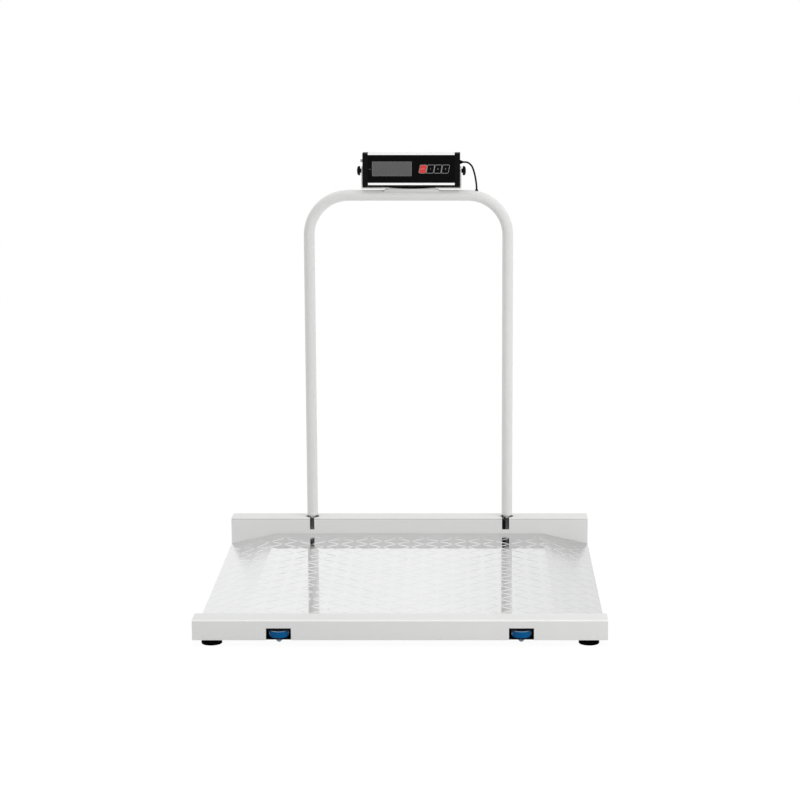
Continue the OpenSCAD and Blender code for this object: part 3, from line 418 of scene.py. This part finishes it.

# Transport wheels: cast blue polyurethane, lying flat behind the notches of the front guard,
# so that the scale can be tipped on edge and wheeled. They turn on bolts in steel brackets.
# Cast polyurethane: deep blue and a little glossy, with a faint mottle. The upper rim is painted
# pale, a painted highlight.
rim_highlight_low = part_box("wheel_left")[1].z - 2.4 * MM
blue_pu, tree, shader, place = finish("cast_blue_polyurethane",
    {"Roughness": 0.3, "Specular IOR Level": 0.06})
pu_tint = tinted(tree, shader, noise(tree, place, 3 * MM), "#025287", "#055D98")
# Painted highlight: the colour turns pale in a band along the wheel's upper rim.
pu_height = add(tree, "SeparateXYZ", {0: place})
pu_highlight_band = add(tree, "MapRange", {"Value": pu_height.outputs["Z"], "From Min": rim_highlight_low,
    "From Max": rim_highlight_low + 0.8 * MM, "To Min": 0.0, "To Max": 0.85})
pu_with_highlight = add(tree, "MixRGB", {"Fac": pu_highlight_band.outputs[0], "Color1": pu_tint.outputs[0],
    "Color2": linear("#B9CAD6")})
join(tree, pu_with_highlight.outputs[0], shader, "Base Color")

wheel_hub_r = 9 * MM
wheel_bore_r = 4.05 * MM
wheel_hub_out = 1.6 * MM
wheel_web_in = 3 * MM
wheel_rim_in = 6 * MM
wheel_slope = 1 * MM
hub_slope = 0.5 * MM
for side in ("left", "right"):
    low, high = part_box("wheel_" + side)
    centre = (low + high) / 2
    r = (high.x - low.x) / 2
    z0, z1 = low.z + wheel_hub_out, high.z - wheel_hub_out
    web_0, web_1 = z0 + wheel_web_in, z1 - wheel_web_in
    rim_r = r - wheel_rim_in
    corners = [(wheel_bore_r, low.z), (wheel_hub_r, low.z), (wheel_hub_r + hub_slope, web_0),
        (rim_r, web_0), (rim_r + wheel_slope, z0), (r, z0),
        (r, z1), (rim_r + wheel_slope, z1), (rim_r, web_1),
        (wheel_hub_r + hub_slope, web_1), (wheel_hub_r, high.z), (wheel_bore_r, high.z)]
    radii = np.array([0, 0.6, 0.8, 0.8, 0.8, 2.6, 2.6, 0.8, 0.8, 0.8, 0.6, 0]) * MM
    wheel = surface("blue_wheel_" + side,
        turned(rounded(corners, radii), 96) + np.array([centre.x, centre.y, 0]), closed=True)
    fit_out(wheel, blue_pu, "wheel_" + side, "blue_polyurethane", "wheel_" + side)


def softened(name, node, width, material, slot, body, least=30, shortest=0, above=-1):
    """A copy of a CAD node's mesh, its flat faces made whole and each edge over the least angle
    rounded off by the width, if it is over four widths and the shortest length long and lies
    above a height. It takes the node's place in the picture."""
    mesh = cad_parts[node].data.copy()
    mesh.name = name
    work = bmesh.new()
    work.from_mesh(mesh)
    bmesh.ops.remove_doubles(work, verts=work.verts, dist=1e-6)
    bmesh.ops.dissolve_limit(work, angle_limit=math.radians(1), verts=work.verts,
        edges=work.edges)
    long_edges = [edge for edge in work.edges if edge.calc_length() > max(4 * width, shortest)
        and edge.calc_face_angle(0) > math.radians(least)
        and min(vert.co.z for vert in edge.verts) > above]
    bmesh.ops.bevel(work, geom=long_edges, offset=width, segments=3, profile=0.5,
        affect="EDGES", clamp_overlap=True)
    bmesh.ops.dissolve_degenerate(work, edges=work.edges, dist=1e-6)
    bmesh.ops.recalc_face_normals(work, faces=work.faces)
    work.to_mesh(mesh)
    work.free()
    mesh.materials.clear()
    mesh.shade_smooth()
    mesh.set_sharp_from_angle(angle=math.radians(least))
    piece = bpy.data.objects.new(name, mesh)
    bpy.context.scene.collection.objects.link(piece)
    fit_out(piece, material, body, slot, node)


# Boxes, brackets and bolts: the indicator's end caps and the junction box are moulded, the
# brackets are folded from sheet and painted, and the wheels turn on plated bolts. All keep the
# shapes of their CAD nodes, most with the edges rounded off.
# Moulded ABS with a spark-eroded skin: black and satin.
black_abs, tree, shader, place = finish("moulded_black_abs",
    {"Roughness": 0.5, "Specular IOR Level": 0.08})
spark = noise(tree, place, 0.5 * MM)
tinted(tree, shader, spark, "#080809", "#0E0E0F")
bumped(tree, shader, spark, 0.2, 0.04 * MM)
# Black paint of the pivot and wheel brackets: a thin satin coat over folded steel, its black also
# a painted shade for the dark inside the guards' notches and slots.
black_paint_and_shade, tree, shader, place = finish("satin_black_paint_and_shade",
    {"Roughness": 0.45, "Specular IOR Level": 0.1})
paint_peel = noise(tree, place, 1.5 * MM, 1.0)
tinted(tree, shader, paint_peel, "#060606", "#0C0C0D")
bumped(tree, shader, paint_peel, 0.2, 0.05 * MM)
dress(black_paint_and_shade, "pivot_brackets", "wheel_brackets")
# Blue passivated steel of the wheel bolts and nuts: a dull bluish grey.
blued, tree, shader, place = finish("blue_passivated_steel", {"Metallic": 0.85,
    "Specular IOR Level": 0.2})
blued_cloud = noise(tree, place, 3 * MM, 3.0)
tinted(tree, shader, blued_cloud, "#667684", "#7D8C99")
glossed(tree, shader, blued_cloud, 0.35, 0.5)
softened("cap_body_left", "case_cap_left", 1.6 * MM, black_abs, "black_plastic", "indicator")
softened("cap_body_right", "case_cap_right", 1.6 * MM, black_abs, "black_plastic", "indicator")
softened("junction_body", "junction_box", 1.5 * MM, black_abs, "black_plastic", "platform")
softened("junction_cover", "junction_lid", 1 * MM, black_abs, "black_plastic", "platform")
softened("bracket_body", "indicator_bracket", 0.5 * MM, white_coat, "white_powder_coat",
    "handrail")
softened("saddle_body", "saddle_plate", 0.8 * MM, white_coat, "white_powder_coat", "handrail")
softened("axle_nut_hexes", "axle_nuts", 0.5 * MM, blued, "zinc_steel", "platform")
softened("axle_bolts", "wheel_axles", 0.4 * MM, blued, "zinc_steel", "platform")
for end in ("front", "rear"):
    softened(end + "_channel", end + "_guard", 1.8 * MM, white_coat, "white_powder_coat",
        "platform", shortest=0.3, above=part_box(end + "_guard")[1].z - 3 * MM)

# Shade line of the rear guard: a thin grey strip along its face just under its top fold, where the
# top sheet meets the face; it is painted shade. The handrail's two slots break it.
# Painted shade line: mid grey and matt.
fold_shade_paint, tree, shader, place = finish("grey_fold_shade_paint", {"Roughness": 0.7})
tinted(tree, shader, noise(tree, place, 2 * MM), "#7C7C7B", "#8A8A89")
guard_low, guard_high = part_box("rear_guard")
shade_line_end = 3 * MM
shade_line_drop = 2.6 * MM
shade_line_r = 0.3 * MM
shade_line_flat = 0.4
left_slot = (rail_low.x + 8 * MM, rail_low.x + 22 * MM)
right_slot = (rail_high.x - 30 * MM, rail_high.x - 8 * MM)
shade_line_lines = []
for start, end in ((guard_low.x + shade_line_end, left_slot[0]), (left_slot[1], right_slot[0]),
        (right_slot[1], guard_high.x - shade_line_end)):
    seam_x = np.linspace(start, end, 9)
    line = np.stack([seam_x, 0 * seam_x + guard_low.y, 0 * seam_x + guard_high.z - shade_line_drop], -1)
    shade_line_lines.append(swept(line, circle(shade_line_r, 8) * [shade_line_flat, 1], (0, 0, 1)))
shade_line = surface("rear_shade_line", np.stack(shade_line_lines))
fit_out(shade_line, fold_shade_paint, "platform", "white_powder_coat")


# Socket screws: the small screws of the caps, the bracket and the junction box, zinc plated,
# each with a hexagon socket sunk in its head.
def solids_of(node):
    """Low and high corner of each separate solid of a CAD node."""
    work = bmesh.new()
    work.from_mesh(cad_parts[node].data)
    bmesh.ops.remove_doubles(work, verts=work.verts, dist=1e-6)
    corners = []
    for vert in work.verts:
        if vert.tag:
            continue
        vert.tag = True
        reached = [vert]
        for point in reached:
            for edge in point.link_edges:
                other = edge.other_vert(point)
                if not other.tag:
                    other.tag = True
                    reached.append(other)
        points = np.array([point.co for point in reached])
        corners.append((points.min(0), points.max(0)))
    work.free()
    return corners


def socket_screws(name, node, axis, shank_r, head_h, cone, body, outward=None):
    """Screws in the place of a CAD node's solids: a shank and a head with a hexagon socket,
    turned about one axis. The socket's radius at an angle a is its half width over the cosine
    of a from the nearest flat's middle. Heads point up the axis, or away from a point on it."""
    sides = 24
    socket_share, edge_share, depth_share = 0.5, 0.12, 0.6
    angle = np.arange(sides) * 2 * math.pi / sides
    hexagon = 1 / np.cos((angle + math.pi / 6) % (math.pi / 3) - math.pi / 6)
    ring = circle(1, sides)
    grids = []
    for low, high in solids_of(node):
        middle = (low + high) / 2
        length = high[axis] - low[axis]
        head_r = (high - low)[(axis + 1) % 3] / 2
        way = 1 if outward is None or middle[axis] > outward else -1
        flat = socket_share * head_r
        edge = edge_share * head_r
        floor_z = depth_share * head_h
        profile = [(0, floor_z), (flat, floor_z), (flat, 0), (head_r - edge, 0),
            (head_r, 0 if cone else edge), (head_r, 0.1 * head_h if cone else head_h),
            (shank_r, head_h), (shank_r, length - edge), (shank_r - edge, length), (0, length)]
        rows = []
        for i, (radius, depth) in enumerate(profile):
            spread = radius * (hexagon if i in (1, 2) else 1)
            rows.append(np.column_stack([ring * np.reshape(spread, (-1, 1)), 0 * angle - depth]))
        points = np.roll(np.stack(rows) * [1, way, way], axis + 1, -1)
        points += middle
        points[..., axis] += way * length / 2
        grids.append(points)
    fit_out(surface(name, np.stack(grids)), zinc, body, "zinc_steel", node)


indicator_middle = 9 * MM
far_above = 1.0
socket_screws("cap_socket_screws", "cap_screws", 0, 1.5 * MM, 1.8 * MM, False, "indicator",
    outward=indicator_middle)
socket_screws("saddle_socket_screws", "bracket_screws", 2, 2.5 * MM, 2.6 * MM, True, "handrail")
socket_screws("junction_socket_screws", "junction_screws", 2, 1.5 * MM, 1.6 * MM, False,
    "platform", outward=far_above)

# Handrail: one 30 mm steel tube, bent twice and coated white, its ends pressed flat to take
# the tongues that stand in the rear guard's slots.
tube_r = 15 * MM
tube_bend = 110 * MM
pressed_x = 4 * MM
pressed_y = 11 * MM
pressed_square = 0.6
rail_end_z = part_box("rail_swages")[0].z
leg_x = rail_high.x - tube_r
bend_x = leg_x - tube_bend
bend_z = rail_high.z - tube_r - tube_bend
leg_bottom = np.linspace(rail_end_z, rail_low.z + 4 * MM, 12)
leg_z = np.concatenate([leg_bottom, np.linspace(200 * MM, bend_z - 20 * MM, 8)])
left_leg = np.stack([0 * leg_z - leg_x, leg_z], -1)
arc = np.linspace(math.pi, math.pi / 2, 25)[:, None]
left_bend = [-bend_x, bend_z] + tube_bend * np.concatenate([np.cos(arc), np.sin(arc)], -1)
left_half = np.concatenate([left_leg, left_bend, [[-bend_x * 0.5, rail_high.z - tube_r]]])
rail_line = np.concatenate([left_half, left_half[::-1] * [-1, 1]])
rail_path = np.insert(rail_line, 1, rail_y, axis=1)
pressed = np.clip((rail_low.z - rail_path[:, 2]) / (rail_low.z - rail_end_z), 0, 1)[:, None]
pressed = pressed * pressed * (3 - 2 * pressed)
power = 1 - pressed_square * pressed
round_x, round_y = circle(1, 48).T
wide = (tube_r + (pressed_x - tube_r) * pressed) * np.sign(round_x) * np.abs(round_x)**power
deep = (tube_r + (pressed_y - tube_r) * pressed) * np.sign(round_y) * np.abs(round_y)**power
rail = surface("bent_rail", swept(rail_path, np.stack([wide, deep], -1), (0, 1, 0)))
fit_out(rail, white_coat, "handrail", "white_powder_coat", "handrail_tube", "rail_swages")

# Tongues and pivot pins: flat bars and round pins of bare steel that stand in the guard's slots.
# Hot-rolled steel under oil: dark, dull and a little uneven.
dark_steel, tree, shader, place = finish("oiled_dark_steel",
    {"Metallic": 0.6, "Specular IOR Level": 0.3})
scale_marks = noise(tree, place, 5 * MM, 4.0)
tinted(tree, shader, scale_marks, "#5A5B5C", "#767778")
glossed(tree, shader, scale_marks, 0.4, 0.6)
dress(dark_steel, "rail_tongues", "rail_pivot_pins")

# Indicator case: an extruded aluminium body, satin anodised, whose lips frame the face. Its bevel
# and underside are coloured black below a set height, and its back is a greyer silver.
# Anodised aluminium: bright and satin, with fine lines along the extrusion.
case_low, case_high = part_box("indicator_case")
black_below = case_low.z + 5.3 * MM
back_from = case_high.y - 1 * MM
anodised, tree, shader, place = finish("satin_anodised_aluminium", {"Metallic": 1.0})
grain_place = add(tree, "Mapping", {"Vector": place, "Scale": (1 / (60 * MM), 1 / (0.6 * MM),
    1 / (0.6 * MM))})
grain = noise(tree, grain_place.outputs[0], 1.0)
bright_tint = tinted(tree, shader, grain, "#F2F2F2", "#FBFBFB")
height = add(tree, "SeparateXYZ", {0: place})
black_underside = add(tree, "Math", {0: height.outputs["Z"], 1: black_below}, operation="LESS_THAN")
blasted = add(tree, "Math", {0: height.outputs["Y"], 1: back_from}, operation="GREATER_THAN")
silver = add(tree, "MixRGB", {"Fac": blasted.outputs[0], "Color1": bright_tint.outputs[0],
    "Color2": linear("#C6C8CA")})
case_tint = add(tree, "MixRGB", {"Fac": black_underside.outputs[0], "Color1": silver.outputs[0],
    "Color2": linear("#0C0C0D")})
join(tree, case_tint.outputs[0], shader, "Base Color")
glossed(tree, shader, grain, 0.14, 0.24)
softened("case_body", "indicator_case", 0.4 * MM, anodised, "case_aluminium", "indicator")

# Face: a printed polyester film over a black panel, with a grey display behind its window.
# Printed film: near black and satin, with the fine grain of its hard coat.
film, tree, shader, place = finish("printed_polyester_film",
    {"Roughness": 0.35, "Specular IOR Level": 0.05})
tinted(tree, shader, noise(tree, place, 0.4 * MM), "#050505", "#090909")
dress(film, "face_panel")
# Display glass, unlit: an even mid grey with a soft cloud in it, smooth but not glaring.
display, tree, shader, place = finish("unlit_display_glass",
    {"Roughness": 0.2, "Specular IOR Level": 0.2})
tinted(tree, shader, noise(tree, place, 30 * MM), "#5E5F5E", "#646564")
dress(display, "display_window")


def drawn_in(outline, levels):
    """One row for each level, an inset and a height: the outline, drawn in by the inset square
    to the line between each point's two neighbours, at that height."""
    ahead = unit(np.roll(outline, -1, 0) - np.roll(outline, 1, 0))
    inward = np.stack([-ahead[:, 1], ahead[:, 0]], -1)
    return [np.insert(outline + inset * inward, 2, level, axis=1) for inset, level in levels]


def slab(outline, levels):
    """A flat piece with a shaped rim, drawn in at each level. A point at the middle closes the
    bottom and the top."""
    rows = drawn_in(outline, levels)
    ends = [np.broadcast_to(row.mean(0), row.shape) for row in (rows[0], rows[-1])]
    return np.stack([ends[0], *rows, ends[1]])


def facing_viewer(grid, y):
    """Stands a flat grid upright: its X and Y become X and Z, and its height points to -Y."""
    return np.stack([grid[..., 0], y - grid[..., 2], grid[..., 1]], -1)


def border(name, outline, outer, inner, y, thick):
    """A thin printed frame along an outline, from the outer to the inner inset, on the face."""
    section = [(outer, 0), (outer, thick), (inner, thick), (inner, 0)]
    ring = surface(name, facing_viewer(np.stack(drawn_in(outline, section)), y), closed=True)
    fit_out(ring, ink, "indicator", "face_film")


def rectangle(low, high, radius):
    """Rounded outline of a box as the viewer sees it, in X and Z."""
    return rounded([(low.x, low.z), (high.x, low.z), (high.x, high.z), (low.x, high.z)], radius)


# Grey printing ink of the frames, marks and figures: flat, with the screen's fine grain.
ink, tree, shader, place = finish("grey_printing_ink", {"Roughness": 0.6,
    "Specular IOR Level": 0.1})
tinted(tree, shader, noise(tree, place, 0.3 * MM), "#B0B1B0", "#BEBFBE")

panel_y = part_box("face_panel")[0].y
window_low, window_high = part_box("display_window")
window_round = 0.6 * MM
frame_out = 0.55 * MM
frame_in = 0.15 * MM
ink_thick = 0.1 * MM
border("display_frame", rectangle(window_low, window_high, window_round), -frame_out, -frame_in,
    panel_y, ink_thick)

# Unlit segments: five figures of seven bars each, barely darker than the glass around them.
segments, tree, shader, place = finish("unlit_segments",
    {"Roughness": 0.25, "Specular IOR Level": 0.2})
tinted(tree, shader, noise(tree, place, 20 * MM), "#5A5B5A", "#5F605F")
digits = 5
first_digit = 14 * MM
digit_pitch = 19.5 * MM
digit_w = 11 * MM
digit_h = 22 * MM
bar = 2 * MM
bar_gap = 0.5 * MM
bars = []
for figure in range(digits):
    x = window_low.x + first_digit + digit_pitch * figure
    z = (window_low.z + window_high.z) / 2
    for i, up in ((0, 1), (0, 0), (0, -1), (-1, 0.5), (-1, -0.5), (1, 0.5), (1, -0.5)):
        level = i == 0
        half = (digit_w if level else digit_h / 2) / 2 - bar_gap
        along = np.array([-half, bar / 2 - half, half - bar / 2, half])
        thick = np.array([0, bar / 2, bar / 2, 0])
        a, b = np.concatenate([along, along[::-1]]), np.concatenate([-thick, thick[::-1]])
        flat = np.stack([a, b] if level else [-b, a], -1)
        flat = flat + [x + i * digit_w / 2, z + up * digit_h / 2]
        bars.append(slab(flat, [(0, 0), (0, 0.03 * MM)]))
figures = surface("display_segments", facing_viewer(np.stack(bars), window_low.y))
fit_out(figures, segments, "indicator", "display_glass")
# A short dash is printed to the left of the display, a little below its middle.
mark_low, mark_high = window_low.copy(), window_low.copy()
mark_low.x -= 10 * MM
mark_high.x -= 3 * MM
mark_low.z += 17.6 * MM
mark_high.z += 18.6 * MM
mark = surface("charge_mark", facing_viewer(slab(rectangle(mark_low, mark_high, 0.3 * MM),
    [(0, 0), (0, 0.06 * MM)]), panel_y))
fit_out(mark, segments, "indicator", "face_film")

# Keys: domed caps of moulded plastic, their sides leaning, the first one red. A grey line is
# printed around each of them.
key_lean = 4 * MM
key_round = 2.2 * MM
key_line_out = 1.2 * MM
key_line_in = 0.35 * MM
key_words = {1: "ON/OFF", 2: "1", 3: "2", 4: "3"}
word_height = 3 * MM
number_height = 6 * MM
# Moulded red ABS: a warm signal red, satin, with a fine grain.
red_key, tree, shader, place = finish("moulded_red_abs", {"Roughness": 0.45,
    "Specular IOR Level": 0.2})
tinted(tree, shader, noise(tree, place, 0.6 * MM), "#DE3F3A", "#E84A45")


def lettering(name, text, height, x, z, y, body):
    """Figures or letters printed in Blender's own plain font, a hair thick, facing -Y."""
    words = bpy.data.curves.new(name, "FONT")
    words.body = text
    words.size = height
    words.extrude = 0.03 * MM
    words.resolution_u = 3
    words.align_x = "CENTER"
    words.align_y = "CENTER"
    holder = bpy.data.objects.new(name + "_curve", words)
    mesh = bpy.data.meshes.new_from_object(holder)
    bpy.data.objects.remove(holder)
    points = np.empty(len(mesh.vertices) * 3)
    mesh.vertices.foreach_get("co", points)
    points = points.reshape(-1, 3)
    mesh.vertices.foreach_set("co", (facing_viewer(points, y) + [x, 0, z]).reshape(-1))
    work = bmesh.new()
    work.from_mesh(mesh)
    bmesh.ops.remove_doubles(work, verts=work.verts, dist=1e-6)
    bmesh.ops.recalc_face_normals(work, faces=work.faces)
    work.to_mesh(mesh)
    work.free()
    mesh.materials.clear()
    piece = bpy.data.objects.new(name, mesh)
    bpy.context.scene.collection.objects.link(piece)
    fit_out(piece, ink, body, "face_film")


for number, words in key_words.items():
    low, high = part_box(f"key_{number}")
    middle = (low + high) / 2
    half_w = (high.x - low.x - key_lean) / 2
    half_h = (high.z - low.z) / 2
    lean = key_lean / 2
    corners = [(-half_w - lean, -half_h), (half_w - lean, -half_h), (half_w + lean, half_h),
        (-half_w + lean, half_h)]
    outline = rounded(corners, key_round) + [middle.x, middle.z]
    depth = high.y - low.y
    levels = [(0, 0), (0, depth - 0.5 * MM), (0.15 * MM, depth - 0.2 * MM),
        (0.5 * MM, depth - 0.06 * MM), (1.2 * MM, depth - 0.04 * MM)]
    key = surface(f"key_cap_{number}", facing_viewer(slab(outline, levels), high.y))
    key_finish, key_slot = (red_key, "red_key") if number == 1 else (film, "face_film")
    fit_out(key, key_finish, f"key_{number}", key_slot, f"key_{number}")
    border(f"key_line_{number}", outline, -key_line_out, -key_line_in, panel_y, ink_thick)
    lettering(f"key_words_{number}", words, word_height if number == 1 else number_height,
        middle.x, middle.z, low.y + 0.03 * MM, f"key_{number}")

# Clamp knobs: black moulded star knobs with six hollows, on studs in the case's ends.
knob_lobes = 6
knob_lobe = 2 * MM
knob_neck_r = 6 * MM
knob_sides = 120
for side, way in (("left", -1), ("right", 1)):
    low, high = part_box("clamp_knob_" + side)
    centre = (low + high) / 2
    thick = high.x - low.x
    head_r = (high.y - low.y) / 2 + 0.4 * MM
    corners = [(0, 0), (knob_neck_r, 0), (knob_neck_r, 3 * MM), (head_r - 1 * MM, 3.2 * MM),
        (head_r, 5 * MM), (head_r, thick - 4 * MM), (head_r - 3 * MM, thick - 1 * MM),
        (4 * MM, thick), (0, thick)]
    radii = np.array([0, 0.5, 0.4, 0.8, 0.9, 1.5, 1.8, 0.5, 0]) * MM
    profile = rounded(corners, radii)
    grid = turned(profile, knob_sides)
    sweep_angle = np.arange(knob_sides) * 2 * math.pi / knob_sides
    hollow = knob_lobe * (1 + np.cos(knob_lobes * sweep_angle)) / 2 / head_r
    share = np.clip((profile[:, 0] - knob_neck_r) / (head_r - knob_neck_r), 0, 1)[:, None]
    grid[..., :2] *= (1 - hollow * share)[..., None]
    start = high.x if way < 0 else low.x
    knob = surface("star_knob_" + side, np.stack([start + way * grid[..., 2],
        centre.y + grid[..., 0], centre.z + grid[..., 1]], -1))
    fit_out(knob, black_abs, "knob_" + side, "black_plastic", "clamp_knob_" + side)

# Gland and boot: black rubber, the gland ribbed so that it gives with the cable, the boot a
# domed collar on a plug that fills the hole in the rail.
gland_low, gland_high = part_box("cable_gland")
gland_profile = np.array([(0, 0), (5.5, 0), (5.5, 1.8), (5.2, 2), (4.4, 2.6), (4.4, 3),
    (4.8, 3.3), (4.6, 3.8), (3.9, 4.1), (3.9, 4.4), (4.2, 4.7), (4, 5.2), (3.4, 5.5),
    (3.4, 5.8), (3.7, 6), (3.35, 6.8), (3.1, 7), (0, 7)]) * MM
gland = surface("ribbed_gland", np.roll(turned(gland_profile, 48), 1, -1)
    + np.array([gland_low.x, rail_y, (gland_low.z + gland_high.z) / 2]))
fit_out(gland, rubber, "indicator", "black_rubber", "cable_gland")
boot_low, boot_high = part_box("cable_boot")
boot_seat = boot_high.z - 2.6 * MM
boot_profile = np.array([(0, boot_low.z), (3.2 * MM, boot_low.z),
    (3.5 * MM, boot_low.z + 0.5 * MM), (3.5 * MM, boot_seat), (5 * MM, boot_seat),
    (5 * MM, boot_seat + 0.7 * MM), (4.6 * MM, boot_seat + 1.2 * MM),
    (3.8 * MM, boot_seat + 1.6 * MM), (3.3 * MM, boot_high.z - 0.3 * MM),
    (3 * MM, boot_high.z), (0, boot_high.z)])
boot = surface("domed_boot", turned(boot_profile, 48)
    + np.array([(boot_low.x + boot_high.x) / 2, rail_y, 0]))
fit_out(boot, rubber, "handrail", "black_rubber", "cable_boot")

# Bracket shade strip: a thin black strip on the bracket's base, under the case, in the black
# rubber material; it is painted shade for the gap there. Its front edge hangs over the base in a
# shallow arc, which shows as a dark line below the case.
base_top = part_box("saddle_plate")[1].z + 3 * MM
shade_strip_middle = 11.5 * MM
shade_strip_half = 65.5 * MM
shade_strip_front = rail_y - 12.5 * MM
shade_strip_back = shade_strip_front + 16 * MM
shade_strip_top = base_top + 0.5 * MM
shade_strip_sag = 2.8 * MM
shade_strip_edge = shade_strip_front + 0.45 * MM
shade_strip_rows = []
for x in shade_strip_middle + shade_strip_half * np.linspace(-1, 1, 41):
    hang = base_top - shade_strip_sag * (1 - ((x - shade_strip_middle) / shade_strip_half)**2) - 0.01 * MM
    section = [(shade_strip_back, base_top), (shade_strip_back, shade_strip_top), (shade_strip_front, shade_strip_top),
        (shade_strip_front, hang), (shade_strip_edge, hang), (shade_strip_edge, base_top)]
    shade_strip_rows.append([(x, y, z) for y, z in section])
shade_strip_grid = np.array(shade_strip_rows)
shade_strip_ends = [np.broadcast_to(row.mean(0), row.shape) for row in (shade_strip_grid[0], shade_strip_grid[-1])]
strip = surface("bracket_shade_strip", np.stack([shade_strip_ends[0], *shade_strip_grid, shade_strip_ends[1]]))
fit_out(strip, rubber, "handrail", "black_rubber")

# Boards and battery: the display module, the two boards and the cells, all hidden in their boxes.
# Glass-fibre board under a green mask: satin, with the lighter tracks showing through.
board, tree, shader, place = finish("green_masked_board", {"Roughness": 0.35})
tracks = add(tree, "TexBrick", {"Vector": place, "Scale": 1 / (12 * MM),
    "Color1": linear("#0E4A2A"), "Color2": linear("#0C4226"), "Mortar": linear("#1B6B3E")})
join(tree, tracks.outputs[0], shader, "Base Color")
# Shrink wrap of the cells: glossy blue film, lighter where it is drawn tight over each cell.
wrap, tree, shader, place = finish("blue_shrink_wrap", {"Roughness": 0.25})
tinted(tree, shader, add(tree, "TexWave", {"Vector": place, "Scale": 1 / (14 * MM) / 6.28}),
    "#1C4F93", "#2B66B0")
dress(board, "lcd_module", "main_board", "junction_board")
dress(wrap, "battery_pack")

# Floor and light: a white sweep in an even white room, a wide lamp overhead and a nearer one at
# the right front. White paint, matt; where it is seen or mirrored it mostly shows as plain white.
glow_strength = 1.03
glow_share = 0.93
floor = surface("studio_floor", np.stack(np.meshgrid([-8.0, 8.0], [-8.0, 8.0], [0.0],
    indexing="ij"), -1)[:, :, 0], around=False)
floor_paint, tree, shader, place = finish("white_studio_floor", {"Roughness": 0.9,
    "Base Color": linear("#F0F0F0")})
glow = add(tree, "Emission", {"Color": (1, 1, 1, 1), "Strength": glow_strength})
rays = add(tree, "LightPath", {})
seen = add(tree, "Math", {0: rays.outputs["Is Camera Ray"], 1: rays.outputs["Is Glossy Ray"]},
    operation="MAXIMUM")
seen = add(tree, "Math", {0: seen.outputs[0], 1: rays.outputs["Is Transmission Ray"]},
    operation="MAXIMUM")
share = add(tree, "Math", {0: seen.outputs[0], 1: glow_share}, operation="MULTIPLY")
blend = add(tree, "MixShader", {0: share.outputs[0], 1: shader.outputs[0], 2: glow.outputs[0]})
tree.links.new(blend.outputs[0], tree.nodes["Material Output"].inputs["Surface"])
floor.data.materials.append(floor_paint)

# The room is plain white to the camera. What metal mirrors of it is dimmer at the ceiling and
# toward the viewer, but for a bright strip low in front. What lights the part grows brighter
# with height and to the left. Metal that lights a matt face mirrors an even, brighter room.
low_strip = 0.08
bounced = 1.2
world = bpy.data.worlds.new("white_room")
world.use_nodes = True
tree = world.node_tree
room = tree.nodes["Background"]
rays = add(tree, "LightPath", {})
way = add(tree, "SeparateXYZ", {0: add(tree, "TexCoord", {}).outputs["Generated"]})
ceiling = add(tree, "MapRange", {"Value": way.outputs["Z"], "From Min": 0.8, "From Max": 1.0,
    "To Min": 1.0, "To Max": 0.8})
front_wall = add(tree, "MapRange", {"Value": way.outputs["Y"], "From Min": -0.2, "From Max": 0.3,
    "To Min": 0.74, "To Max": 1.0})
mirrored = add(tree, "Math", {0: ceiling.outputs[0], 1: front_wall.outputs[0]},
    operation="MULTIPLY")
low_front = add(tree, "MapRange", {"Value": way.outputs["Y"], "From Min": -0.95,
    "From Max": -0.85, "To Min": 0.46, "To Max": 0.0})
low = add(tree, "Math", {0: way.outputs["Z"], 1: low_strip}, operation="LESS_THAN")
mirrored = add(tree, "Math", {0: low_front.outputs[0], 1: low.outputs[0],
    2: mirrored.outputs[0]}, operation="MULTIPLY_ADD")
mirrored = add(tree, "MixRGB", {"Fac": rays.outputs["Diffuse Depth"],
    "Color1": mirrored.outputs[0], "Color2": (bounced, bounced, bounced, 1)})
high_sky = add(tree, "MapRange", {"Value": way.outputs["Z"], "From Min": 0.0, "From Max": 1.0,
    "To Min": 0.38, "To Max": 0.68})
left_sky = add(tree, "MapRange", {"Value": way.outputs["X"], "From Min": -1.0, "From Max": 0.0,
    "To Min": 0.22, "To Max": 0.0})
scattered = add(tree, "Math", {0: high_sky.outputs[0], 1: left_sky.outputs[0]}, operation="ADD")
level = add(tree, "MixRGB", {"Fac": rays.outputs["Is Glossy Ray"],
    "Color1": scattered.outputs[0], "Color2": mirrored.outputs[0]})
seen = add(tree, "Math", {0: rays.outputs["Is Camera Ray"],
    1: rays.outputs["Is Transmission Ray"]}, operation="MAXIMUM")
level = add(tree, "MixRGB", {"Fac": seen.outputs[0], "Color1": level.outputs[0],
    "Color2": (1, 1, 1, 1)})
tree.links.new(level.outputs[0], room.inputs["Color"])
bpy.context.scene.world = world


def soft_lamp(name, place, width, depth, watts):
    """A rectangular lamp that faces the scale."""
    lamp = bpy.data.objects.new(name, bpy.data.lights.new(name, "AREA"))
    lamp.data.shape = "RECTANGLE"
    lamp.data.size = width
    lamp.data.size_y = depth
    lamp.data.energy = watts
    lamp.location = place
    lamp.rotation_euler = (-lamp.location).to_track_quat("-Z", "Y").to_euler()
    lamp.visible_glossy = False
    bpy.context.scene.collection.objects.link(lamp)


soft_lamp("overhead_lamp", (0, 0.3, 4.2), 4.0, 3.0, 42)
soft_lamp("front_lamp", (3.8, -2.2, 1.6), 1.4, 1.4, 58)
bpy.context.scene.view_settings.view_transform = "Standard"
